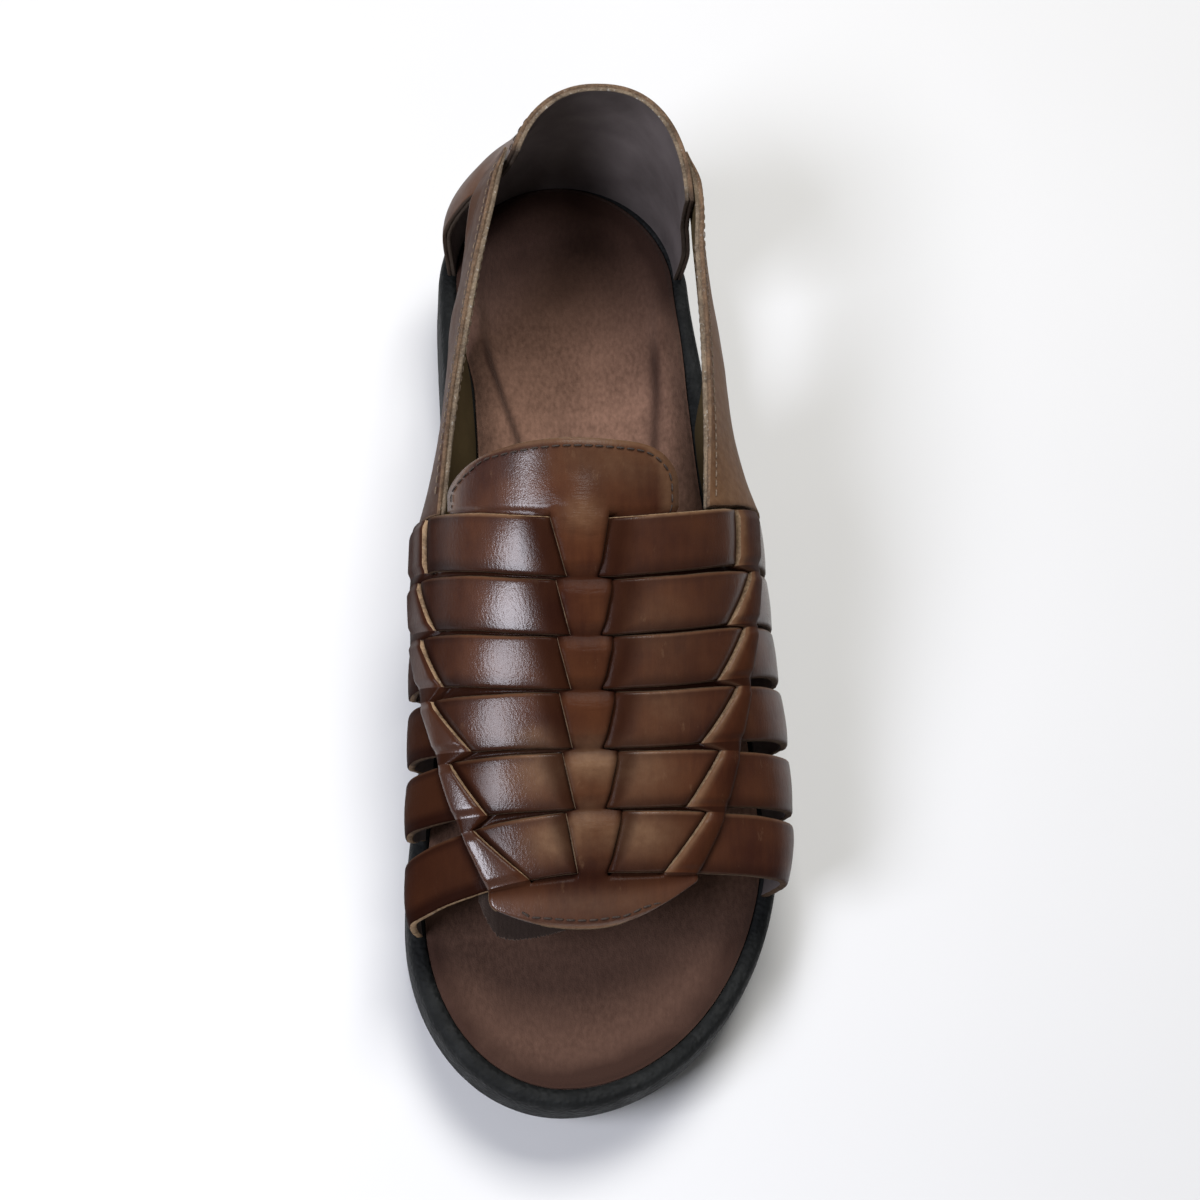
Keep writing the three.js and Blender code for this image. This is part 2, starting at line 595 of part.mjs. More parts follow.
// Outer face of the counter at a height: turn runs from -1 at its medial front edge through the heel to 1.
function counterPoint(turn, height) {
  const angle = (Math.abs(turn) * Math.PI) / 2;
  const middle = (counter.medial(height) + counter.lateral(height)) / 2;
  const half = (counter.lateral(height) - counter.medial(height)) / 2;
  const front = counterFront(turn, height);
  const fullness = 2 / counter.power(height);
  const x = middle + Math.sign(turn) * half * Math.sin(angle) ** fullness;
  return place(x, front - (front - counter.back(height)) * Math.cos(angle) ** fullness, height);
}

function counterEdge(side, fromHeel, height) {
  const middle = (counter.medial(height) + counter.lateral(height)) / 2;
  const front = counterFront(SIDES[side], height);
  const ahead = Math.max(front - fromHeel, 0) / (front - counter.back(height));
  const power = counter.power(height);
  return middle + (counter[side](height) - middle) * (1 - ahead ** power) ** (1 / power);
}

function buildCounter() {
  const turns = Array.from({ length: COUNTER_AROUND + 1 }, (_, k) => (2 * k) / COUNTER_AROUND - 1);
  const rows = Array.from({ length: COUNTER_UP + 1 }, (_, j) => j / COUNTER_UP);
  const heightAt = (turn, share) => {
    const foot = rimHeight(counter.back(30)) + SEAM_GAP;
    const collar = COLLAR_SIDE + (COLLAR_BACK - COLLAR_SIDE) * Math.cos((turn * Math.PI) / 2) ** 1.5;
    return foot + (collar - foot) * share;
  };
  const face = (inset) => {
    return rows.map((share) => {
      return turns.map((turn) => {
        const trim = turn < 0 ? (MEDIAL_TRIM * Math.max(share - TRIM_START, 0)) / (1 - TRIM_START) : 0;
        const end = turn * (1 - trim);
        const height = heightAt(end, share);
        const reach = 0.02;
        const ahead = counterPoint(Math.min(end + reach, 1), height);
        const behind = counterPoint(Math.max(end - reach, -1), height);
        const around = ahead.sub(behind);
        const inward = new THREE.Vector3(around.y, -around.x, 0).normalize();
        return counterPoint(end, height).addScaledVector(inward, inset);
      });
    });
  };
  return wall(face(0), face(COUNTER_THICKNESS), () => true);
}

// A point lifted clear of the sole's rim.
function aboveRim(point) {
  return point.setZ(Math.max(point.z, rimHeight(LENGTH / 2 - point.y) + SEAM_GAP));
}

// Lining face of a sling band: run goes from the counter (0) to the vamp (1), drop from its top edge down.
function bandFace(side) {
  const sign = SIDES[side];
  const frontPoint = (drop) => {
    const girth = BAND_FRONT[side].top * (1 - drop) + BAND_FRONT[side].bottom * drop;
    return lastPoint(strapStation(0, -1, girth) - 3 * SEAM_GAP, girth);
  };
  const edgeCurves = (name, drop) => {
    const { x, y, z } = frontPoint(drop);
    const end = LENGTH / 2 - y;
    const points = [...BANDS[side][name], { fromHeel: end, x, z }];
    return { start: points[0].fromHeel, end, x: curve(points, "x"), z: curve(points, "z") };
  };
  const edges = [edgeCurves("top", 0), edgeCurves("bottom", 1)];
  const straight = (run, drop) => {
    const [top, bottom] = edges.map(({ start, end, x, z }) => {
      const station = start + (end - start) * run;
      return aboveRim(place(x(station), station, z(station)));
    });
    const bulge = BAND_BULGE[side] * (top.z - bottom.z) ** 2 * Math.sin(Math.PI * drop) ** 2 * (1 - run ** 4);
    const point = top.lerp(bottom, drop);
    point.x += sign * bulge;
    return point;
  };
  return (run, drop) => {
    const point = straight(run, drop);
    point.addScaledVector(frontPoint(drop).sub(straight(1, drop)), run ** 4);
    const fromHeel = LENGTH / 2 - point.y;
    const front = counterFront(sign, point.z);
    const clear = counterEdge(side, fromHeel, point.z) + sign * 2 * SEAM_GAP;
    const push = Math.max(sign * (clear - point.x), 0) * (1 - smooth(front + 1, front + 14, fromHeel));
    point.x += sign * push;
    return point;
  };
}

function buildBand(side) {
  const face = bandFace(side);
  const reach = 0.01;
  const lining = [];
  const outer = [];
  for (let i = 0; i <= BAND_STATIONS; i += 1) {
    const run = i / BAND_STATIONS;
    const drops = Array.from({ length: BAND_ROWS + 1 }, (_, j) => j / BAND_ROWS);
    lining.push(drops.map((drop) => face(run, drop)));
    outer.push(drops.map((drop) => {
      const along = face(Math.min(run + reach, 1), drop).sub(face(Math.max(run - reach, 0), drop));
      const across = face(run, Math.min(drop + reach, 1)).sub(face(run, Math.max(drop - reach, 0)));
      const normal = new THREE.Vector3().crossVectors(along, across).normalize();
      if (drop === 1) normal.setZ(0).normalize();
      normal.multiplyScalar(Math.sign(normal.x) * SIDES[side]);
      const thickness = BAND_THICKNESS * (SKIVED + (1 - SKIVED) * smooth(0, SKIVE_RUN, run));
      return aboveRim(face(run, drop).addScaledVector(normal, thickness));
    }));
  }
  return wall(outer, lining, () => true);
}

const PIECES = [
  { name: "sole", geometry: buildSole(), color: 0x1b1f20, roughness: 0.7 },
  { name: "insole", geometry: buildInsole(), color: 0x4a372c, roughness: 0.95 },
  { name: "upper", geometry: buildUpper(), color: 0x5b2a1c, roughness: 0.4 },
  { name: "band_medial", geometry: buildBand("medial"), color: 0x552719, roughness: 0.4 },
  { name: "band_lateral", geometry: buildBand("lateral"), color: 0x552719, roughness: 0.4 },
  { name: "heel_counter", geometry: buildCounter(), color: 0x4d2317, roughness: 0.4 },
];

const sandal = new THREE.Group();
for (const { name, geometry, color, roughness } of PIECES) {
  const mesh = new THREE.Mesh(geometry, new THREE.MeshStandardMaterial({ color, roughness }));
  mesh.name = name;
  sandal.add(mesh);
}
const bounds = new THREE.Box3().setFromObject(sandal);
const centre = bounds.getCenter(new THREE.Vector3());
sandal.children.forEach((mesh) => mesh.geometry.translate(-centre.x, -centre.y, -bounds.min.z));

export default sandal;
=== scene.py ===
"""Looks of a fisherman sandal, left shoe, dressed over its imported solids.

Tables are in millimetres, in the shoe's own frame: x to the outer side of the foot, from_heel along the sole
from its back, z up. girth runs round a section of the last: 0 at the crown, 1 at the widest point and 2 at
the sole, negative on the medial side. A change of form or tone is given as its strength, start and end.
"""
import math

import bpy
import numpy as np
from mathutils import Matrix, Vector


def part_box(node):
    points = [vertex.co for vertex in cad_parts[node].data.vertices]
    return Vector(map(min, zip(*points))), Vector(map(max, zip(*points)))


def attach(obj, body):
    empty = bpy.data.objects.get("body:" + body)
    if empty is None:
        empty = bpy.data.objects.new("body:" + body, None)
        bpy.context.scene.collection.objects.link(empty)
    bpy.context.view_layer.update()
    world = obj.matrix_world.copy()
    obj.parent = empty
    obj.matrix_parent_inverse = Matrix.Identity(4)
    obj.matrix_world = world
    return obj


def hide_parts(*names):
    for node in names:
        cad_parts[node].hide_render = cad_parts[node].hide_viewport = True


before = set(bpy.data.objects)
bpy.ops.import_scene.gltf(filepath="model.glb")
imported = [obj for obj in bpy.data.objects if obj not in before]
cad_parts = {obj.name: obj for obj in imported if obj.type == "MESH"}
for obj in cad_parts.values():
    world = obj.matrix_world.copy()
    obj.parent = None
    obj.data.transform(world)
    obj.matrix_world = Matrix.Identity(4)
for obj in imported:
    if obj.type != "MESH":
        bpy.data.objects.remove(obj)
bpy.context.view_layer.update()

# Sole and insole
LENGTH = 274
SEAM_GAP = 0.3
HEEL_ROUND = 38
TOE_ROUND = {"medial": 52, "lateral": 74}
HEEL_TIP_X = -2.5
TOE_TIP_X = -9
ROUND_POWER = {"medial": 2.05, "lateral": 1.93}
TOE_SPRING = 9
SPRING_START = 200
HEEL_BEVEL = 3
BEVEL_LENGTH = 14
ARCH_RISE = 3
ARCH_START = 84
ARCH_END = 150
RIM_WIDTH = 5
RECESS_DEPTH = 7
WAIST_RIM = {"medial": 4, "lateral": 1.2}
GROOVE_WIDTH = 3
GROOVE_DEPTH = 2
GROOVE_RAMP = 0.25
GROOVES = (24, 38, 52, 66, 164, 178, 192, 208, 224, 240)
INSOLE_PROUD = 1
HEEL_CUP = (4, 115, 60)
BALL_DISH = (1.5, 150, 190)
BOWL_REACH = 22
ARCH_COOKIE = 5
COOKIE_REACH = (1, 42, 8)
LIP_DROP = 0.6
LIP_WIDTH = 1.6
SIDES = {"medial": -1, "lateral": 1}
MM_PER_M = 1000

# Where along the sole a form starts, is full, starts to fade and ends
WAIST_RUN = (50, 76, 104, 134)
WING_RUN = (34, 56, 92, 118)
ARCH_RUN = (70, 115, 125, 175)

SOLE = {
    "from_heel": (0, 40, 70, 100, 130, 160, 190, 220, 250, 274),
    "medial": (-38.8, -39.3, -38.6, -37.8, -39.0, -42.6, -46.6, -49.2, -49.4, -49.4),
    "lateral": (33.0, 34.2, 37.5, 39.8, 43.2, 46.6, 49.2, 50.2, 50.2, 50.2),
    "rim": (30.5, 30.3, 28.4, 25.6, 22.8, 20.4, 19.2, 19.6, 22.2, 25.6),
}

# Loops of the sole, from the tread edge up its side, over the rim and down into the recess
SOLE_SIDE = {
    "inset": (2.2, 1.3, 0.6, 0.2, 0),
    "from_ground": (0, 0.5, 1.6, 3, 4.5),
}
SOLE_RIM = {
    "inset": (0.05, 0.2, 0.42, 0.8, 1.4, 2.2, 3.4, RIM_WIDTH, RIM_WIDTH, RIM_WIDTH),
    "below_rim": (6, 4, 2.4, 1.2, 0.4, 0.05, 0, 0.05, 3, RECESS_DEPTH),
}

# Inner edges of the raised wings on either side of the heel seat
WINGS = {
    "from_heel": (30, 45, 60, 72, 88, 105),
    "medial": (-27.5, -26.8, -25.8, -22.6, -17.9, -14),
    "lateral": (23.5, 23, 22.4, 22.6, 21.3, 20),
}
WING_RISE = 2.6
WING_SLOPE = 2
WING_REACH = 12

# Darkening of the insole: towards the toe, painted shade at the heel and along the edge, and a line of
# painted shade along each wing
INSOLE_DARKENING = {"toe": (0.75, 185, 240), "heel": (0.9, 90, 25), "edge": (0.35, 14, RIM_WIDTH + SEAM_GAP)}
WING_SHADE = (0.85, 52, 64)
WING_LINE = 1.5

# Upper: lining face of the last
WIDEST_RISE = 15
FOOT_INSET = 4.6
LAST = {
    "from_heel": (100, 135, 160, 187, 205, 222, 242),
    "crown_x": (-10, -7, -5.5, -5, -5, -5.4, -7),
    "crown_z": (97, 84.5, 73.5, 61.5, 54.6, 49, 44.5),
    "medial": (-42, -44.4, -45.8, -46.4, -47, -47, -43.6),
    "lateral": (43, 45, 46.4, 48.4, 48.2, 45.2, 39),
}

# Straps from the instep to the toe: width, and from_heel of the centre line round the foot
STRAPS = {
    "width": (14.2, 13.3, 12.7, 13.6, 13.8, 15),
    "medial_foot": (124, 141, 159, 178, 195.5, 221),
    "medial_wide": (132, 148, 163.5, 181.5, 200, 222),
    "crown": (146.8, 160.3, 172.8, 185.7, 199.4, 213.8),
    "lateral_wide": (130, 146, 160.5, 177, 195.3, 213),
    "lateral_foot": (124, 141, 157, 174.5, 193, 211.5),
}
STRAP_THICKNESS = 2
STRAP_CROWN = 0.3
STRAP_TOP = 2.2
STRAP_SUNK = 1.2
# Waves in a strap's edges: height, waves along the girth and shift from strap to strap
STRAP_WAVES = ((0.06, 9, 2.1), (0.05, 21, 1))
# Of each strap: how much gloss it lacks, the medial girth where its gloss ends and its painted shade begins,
# the wear of its rear edge
STRAP_DULL = (0.2, 0.1, 0.32, 0.4, 0.45, 0.5)
STRAP_GLOSS_END = (0.38, 0.38, 0.36, 0.34, 0.2, 0.15)
STRAP_REAR_RUB = (0.95, 0.3, 0.3, 0.35, 0.4, 0.4)
STRAP_FIELD = {
    "share": (0, 0.05, 0.12, 0.24, 0.5, 0.76, 0.9, 0.96, 1),
    "top": (2.4, 3.2, 3.7, 3.9, 4.1, 4.0, 3.8, 3.4, 2.5),
}
# Tones of a strap: lack of gloss, tan wear, darkening along its edges (partly burnish, partly painted shade)
# and painted shade round its sides
STRAP_TONE = {
    "edge_dull": (0.9, 0.84, 1),
    "side_dull_and_shade": (1, 0, 0.28),
    "rear_rub": (1, 0.9, 0.97),
    "front_rub": (0.35, 0.93, 1),
    "lateral_rub": (1, 0, 0.3),
    "front_shade": (0.6, 0.4, 0.93),
    "rear_shade": (0.3, 0.6, 0.88),
    "rear_shade_stop": (1, 0.95, 0.88),
}
# Painted shade round the medial side of a strap
SIDE_SHADE = 0.6
# Where a strap goes under, at the slit and at the spine, and the lack of gloss and painted shade it takes
# there
TUCK = {"slit": (1, 0.14, 0), "spine": (1, 0.72, 0.92), "dull": 0.95, "shade": 0.7}
STRAP_PALE = {"rest": 0.15, "side": 0.5, "tongue": 0.9, "toe": 1, "side_girth": -0.9, "toe_girth": -0.3}

# Rounding at the edges of a sheet: its drop, and its reach as a share of the sheet
SHOULDERS = {"strap": (0.35, 0.05), "band": (0.3, 0.12), "spine": (0.15, 0.06), "tongue": (0.5, 0.06)}

# Plug panel: slits as girths at a strap's rear and front edge, the middle of the spine, the outer edge
SLITS = {
    "spine_x": (-6.2, -5.2, -5, -4.6, -4, -3.4),
    "medial_rear": (-0.74, -0.79, -0.74, -0.66, -0.55, -0.44),
    "medial_front": (-0.72, -0.64, -0.59, -0.45, -0.38, -0.21),
    "lateral_rear": (0.57, 0.63, 0.57, 0.51, 0.43, 0.38),
    "lateral_front": (0.55, 0.49, 0.43, 0.36, 0.31, 0.25),
}
PLUG_EDGES = {
    "from_heel": (128, 145, 160, 175, 190, 205, 225),
    "medial": (-0.97, -0.91, -0.84, -0.74, -0.63, -0.53, -0.35),
    "lateral": (0.72, 0.69, 0.64, 0.57, 0.51, 0.45, 0.34),
}
PLUG_THICKNESS = 2
SPINE_HALF_REAR = 6.6
SPINE_HALF_FRONT = 3.6
SLIT_WIDTH = 0.4
GROOVE_RUN = 0.2
BAND_TOP = {"gap": 3.5, "strap": 4.25}
BAND_LIFT = (1, 0, 0.35)
SPINE_TOP = {"dip": 2.5, "knuckle": 4.6}
SPINE_SWELL = 0.25
KNUCKLE_RISE = (1, -1.35, -0.4)
KNUCKLE_FALL = (0.78, 0.4, 1.1)
FIELD_TOP = {"gap": 1.0, "strap": 1.7, "least": 0.3}
FIELD_CLEAR = 0.15
TONGUE_TOP = 2.2
TONGUE_LENGTH = 18.4
TONGUE_CORNER = 10
TONGUE_X = -9
TONGUE_HALF = 27.5
TONGUE_SHARE = {"medial": 0.24, "lateral": 0.52}
TONGUE_EDGE = (0.4, 0.9, 1)
TONGUE_ROWS = (1, 0.985, 0.96, 0.92, 0.87, 0.8, 0.72, 0.64, 0.56, 0.48, 0.4, 0.32, 0.24, 0.16, 0.08)
RIDGE_HALF = 7
RIDGE_FADE = (1, 0.75, 0)
FRONT_RIM = 13
FRONT_RIM_X = -4.5
FRONT_RIM_HALF = 29
FRONT_RIM_CORNER = 5
RIM_ENDS = {"least": 0.05, "power": 0.75}
RIM_ROUND_START = 0.4
RIM_TOP = 2.5
RIM_SWELL = 0.35
RIM_EDGE = (0.5, 0.88, 1)
RIM_ROWS = (0.08, 0.17, 0.26, 0.35, 0.44, 0.53, 0.61, 0.69, 0.76, 0.82, 0.87, 0.91, 0.945, 0.97, 0.99, 1)

# Tones of the plug: bare cut edges, lack of gloss, painted shade and tan wear
PLUG_PALE = {"medial_slit": 0.9, "lateral_slit": 0.5, "spine": 0.45, "tongue": 0.5, "rim": 0.5}
PLUG_DULL = {
    "side": (1, 0.6, 0.85),
    "spine": 0.96,
    "medial_band": (0.9, 0.7, 0.95),
    "lateral_band": 0.9,
    "gap": 0.9,
    "tongue": (0.85, -21, -11),
    "rim": (0.95, 7, 2),
}
PLUG_SHADE = {
    "side": 0.3,
    "dip": (0.75, 0.75, 0.1),
    "spine_edge": (0.45, 0.7, 1),
    "medial_band": 0.3,
    "lateral_band": (0.35, 0.7, 0.3),
    "gap": 0.7,
    "rim": (0.6, 6, 1),
}
PLUG_RUB = {"lateral_band": (0.55, 0.7, 0.92), "tongue": 0.4, "rim": (0.6, -5, -2)}
TONGUE_RUB_ROWS = 3
TONGUE_RUB_COLUMNS = 2

# Loose lining at the rim: from its root to its free edge
FLAP = {"x": (-31, -10), "root": 220, "slant": 0.12, "sag": 4.5, "below": 0.25, "thickness": 1, "darkness": 0.9}
FLAP_SAG_POWER = 1.6
# Waves in the free edge: height, waves along x and shift
FLAP_WAVES = ((0.22, 9.1, 0), (0.16, 23.7, 1), (0.1, 47, 2))
FLAP_EDGE = {
    "x": (-31, -29, -26, -22, -17, -10),
    "from_heel": (225, 230, 234, 234.8, 234.4, 233),
}

# Sling bands: lining face along the upper edge and along the lower edge, which meets the rim at the waist
BAND_THICKNESS = 2.4
BAND_BULGE = {"medial": 0.0017, "lateral": 0.0023}
SKIVED = 0.35
SKIVE_RUN = 0.09
BAND_SUNK = (STRAP_SUNK, 2, 0)
BAND_RUB = {"medial": 0.25, "lateral": 0.75}
BAND_DULL = {"medial": 0.9, "lateral": 0.92}
# Painted shade on the medial band
BAND_SHADE = {"medial": 0.35, "lateral": 0}
BAND_PALE = {"top": 0.8, "bottom": 0.35}
BAND_FRONT = {"medial": (-0.66, -2), "lateral": (0.44, 2)}
BANDS = {
    "medial": {
        "top": {
            "from_heel": (27, 46, 64, 82, 102),
            "x": (-21.6, -25.7, -29.6, -32.7, -35.7),
            "z": (79, 77, 75.6, 74.6, 73.5),
        },
        "bottom": {
            "from_heel": (27, 44, 52, 58, 62, 66, 70, 80, 94, 106),
            "x": (-25.6, -29.9, -31.4, -32, -32.1, -31.4, -30.5, -29.7, -29.1, -30.6),
            "z": (67, 60.5, 53, 44.5, 36.5, 30.8, 28.4, 27.2, 26, 25),
        },
    },
    "lateral": {
        "top": {
            "from_heel": (27, 46, 75, 102),
            "x": (26.4, 28.2, 28.4, 27.8),
            "z": (78.8, 77, 75, 74.5),
        },
        "bottom": {
            "from_heel": (27, 46, 60, 70, 76, 81, 86, 95, 106),
            "x": (28.4, 30.4, 32.4, 34.2, 34.4, 33.6, 33.1, 33.5, 34.9),
            "z": (67, 60.5, 52, 43.5, 36.5, 30.4, 26.9, 26, 25),
        },
    },
}

# Heel counter: its outer face by height above the floor
COUNTER_THICKNESS = 2.4
COLLAR_BACK = 88
COLLAR_SIDE = 79.5
MEDIAL_TRIM = 0.24
TRIM_START = 0.35
COLLAR_POWER = 1.5
COUNTER_SUNK = 0.4
COUNTER_RUB = 0.25
COUNTER_DULL = 0.75
# Painted shade on the counter, darker towards its foot
COUNTER_SHADE = (0.3, 0.7, 0.2)
COUNTER_PALE = {"collar": 0.8, "collar_share": 0.97, "ends": (0.6, 0.9, 1), "rest": 0.1}
COUNTER = {
    "height": (30, 44, 57, 64, 72, 80, 90),
    "back": (2.5, 1.6, 3.2, 4.8, 7.2, 9.6, 12.2),
    "front": (36, 35, 36.5, 38, 41, 43, 43),
    "skew": (0, 3, 3.5, 3, 1, 0, 0),
    "medial": (-36.6, -38.4, -33.6, -28.6, -25.2, -22.6, -20.8),
    "lateral": (31.8, 32, 30.4, 29.2, 28.6, 28.4, 28.4),
    "power": (2, 2, 2.05, 2.1, 2.2, 2.3, 2.3),
}

# Camera: where the photograph was taken from, then turned to the one shoe
PHOTO_SIZE_PX = 1200
PHOTO_FOCAL_PX = 2000
SHOE_CENTRE_PX = 802
CAMERA_PLACE = (-51, -221.6, 523.4)
CAMERA_ELEVATION = 66
SENSOR = 36


def curve(table, column, key="from_heel"):
    """Smooth line through one column of a table, straight beyond its ends."""
    at = np.asarray(table[key], float)
    value = np.asarray(table[column], float)
    chord = np.diff(value) / np.diff(at)
    before = np.concatenate([chord[:1], chord])
    after = np.concatenate([chord, chord[-1:]])
    same_way = before * after > 0
    slope = np.where(same_way, 2 * before * after / np.where(same_way, before + after, 1), 0)

    def read(x):
        x = np.asarray(x, float)
        i = np.clip(np.searchsorted(at, x, side="right") - 1, 0, len(at) - 2)
        span = at[i + 1] - at[i]
        u = (x - at[i]) / span
        inside = np.clip(u, 0, 1)
        ease = inside**2 * (3 - 2 * inside)
        bend = slope[i] * inside * (1 - inside) ** 2 - slope[i + 1] * inside**2 * (1 - inside)
        beyond = slope[i] * np.minimum(u, 0) + slope[i + 1] * np.maximum(u - 1, 0)
        return value[i] * (1 - ease) + value[i + 1] * ease + span * (bend + beyond)

    return read


def smooth(start, end, at):
    u = np.clip((np.asarray(at, float) - start) / (end - start), 0, 1)
    return u * u * (3 - 2 * u)


def ramp(change, at):
    """A change with a strength, from its start to its end."""
    strength, start, end = change
    return strength * smooth(start, end, at)


def there_and_back(run, at):
    start, full, leaving, end = run
    return smooth(start, full, at) * smooth(end, leaving, at)


def eased(count, start=0, end=1):
    """Shares from 0 to 1, closer together towards both ends."""
    return (1 - np.cos(np.pi * np.linspace(start, end, count))) / 2


def unit(vectors):
    return vectors / np.maximum(np.linalg.norm(vectors, axis=-1, keepdims=True), 1e-9)


def place(x, from_heel, z):
    x, from_heel, z = np.broadcast_arrays(x, from_heel, z)
    return np.stack([x, LENGTH / 2 - from_heel, z], -1).astype(float)


def from_heel_of(points):
    return LENGTH / 2 - points[..., 1]


sole_side = {side: curve(SOLE, side) for side in SIDES}
rim_height = curve(SOLE, "rim")


def rounded(share, power):
    return (1 - (1 - np.clip(share, 0, 1)) ** power) ** (1 / power)


def sole_edge(side, from_heel):
    s = np.clip(from_heel, 0, LENGTH)
    at_heel = s < LENGTH / 2
    tip = np.where(at_heel, HEEL_TIP_X, TOE_TIP_X)
    share = np.where(at_heel, s / HEEL_ROUND, (LENGTH - s) / TOE_ROUND[side])
    return tip + (sole_side[side](s) - tip) * rounded(share, ROUND_POWER[side])


def sole_outline(stations, inset, waisted=False):
    """x and from_heel round the sole, from the heel by the lateral side, moved in by inset.

    A waisted rim is moved in further along the waist.
    """
    lateral = np.stack([sole_edge("lateral", stations), stations], -1)
    back = stations[-2:0:-1]
    medial = np.stack([sole_edge("medial", back), back], -1)
    loop = np.concatenate([lateral, medial])
    along = unit(np.roll(loop, -1, axis=0) - np.roll(loop, 1, axis=0))
    further = np.repeat([WAIST_RIM["lateral"], WAIST_RIM["medial"]], [len(lateral), len(medial)])
    depth = inset + waisted * further * there_and_back(WAIST_RUN, loop[:, 1])
    return loop + depth[:, None] * np.stack([-along[:, 1], along[:, 0]], -1)


def ground_height(from_heel):
    spring = np.maximum((from_heel - SPRING_START) / (LENGTH - SPRING_START), 0)
    bevel = np.maximum((BEVEL_LENGTH - from_heel) / BEVEL_LENGTH, 0)
    arch = np.clip((from_heel - ARCH_START) / (ARCH_END - ARCH_START), 0, 1)
    return TOE_SPRING * spring**2 + HEEL_BEVEL * bevel**2 + ARCH_RISE * np.sin(np.pi * arch) ** 2


# Everything is drawn in the tables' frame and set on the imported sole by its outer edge.
OUTER_EDGE = sole_edge("lateral", np.linspace(0, LENGTH, 2 * LENGTH + 1)).max()
FRAME_SHIFT = OUTER_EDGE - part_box("sole")[1].x * MM_PER_M


class Shape:
    """A closed mesh in millimetres: points, faces, a material number per face and named values per point."""

    def __init__(self, points, faces, materials, values=None):
        self.points = np.asarray(points, float)
        self.faces = faces
        self.materials = materials
        self.values = values or {}

    def facing_out(self):
        volume = 0
        for face in self.faces:
            corners = self.points[np.asarray(face)]
            for k in range(1, face.shape[1] - 1):
                across = np.cross(corners[:, k], corners[:, k + 1])
                volume += np.einsum("ij,ij->", corners[:, 0], across)
        if volume < 0:
            self.faces = [face[:, ::-1] for face in self.faces]
        return self


def joined(shapes):
    points, faces, materials, start = [], [], [], 0
    for shape in shapes:
        points.append(shape.points)
        faces += [face + start for face in shape.faces]
        materials += shape.materials
        start += len(shape.points)
    return Shape(np.concatenate(points), faces, materials)


def add_piece(name, shape, materials, slot, *nodes):
    """Blender object of a shape that rides on the part and stands for the given solids."""
    points = (shape.points - (FRAME_SHIFT, 0, 0)) / MM_PER_M
    used = np.unique(np.concatenate([face.ravel() for face in shape.faces]))
    renumber = np.zeros(len(points), int)
    renumber[used] = np.arange(len(used))
    mesh = bpy.data.meshes.new(name)
    faces = [row for face in shape.faces for row in renumber[face].tolist()]
    mesh.from_pydata(points[used].tolist(), [], faces)
    for material in materials:
        mesh.materials.append(material)
    numbers = np.concatenate([np.full(len(face), m) for face, m in zip(shape.faces, shape.materials)])
    mesh.polygons.foreach_set("material_index", numbers.astype(np.int32))
    mesh.polygons.foreach_set("use_smooth", np.ones(len(faces), bool))
    for key, value in shape.values.items():
        attribute = mesh.attributes.new(key, "FLOAT", "POINT")
        attribute.data.foreach_set("value", np.asarray(value, np.float32)[used])
    mesh.update()
    piece = bpy.data.objects.new(name, mesh)
    bpy.context.scene.collection.objects.link(piece)
    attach(piece, "root")
    if nodes:
        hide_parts(*nodes)


PLAIN_ROUND = 0.22
LAYER_ROUND = 0.25
LAYER_FULLNESS = 0.6
LAYER_LINE = {"depth": 0.3, "half_width": 0.06}


def plain_edge(share):
    return PLAIN_ROUND * np.sin(np.pi * share)


def layered_edge(share):
    """Edge of two layers of leather with a line between them."""
    line = np.exp(-(((share - 0.5) / LAYER_LINE["half_width"]) ** 2))
    return LAYER_ROUND * np.abs(np.sin(2 * np.pi * share)) ** LAYER_FULLNESS - LAYER_LINE["depth"] * line


EDGE_LEVELS = {plain_edge: 6, layered_edge: 12}
FRAY = {plain_edge: 0.1, layered_edge: 0.3}
ragged = np.random.default_rng(5)
FACE, LINING, CUT = 0, 1, 2


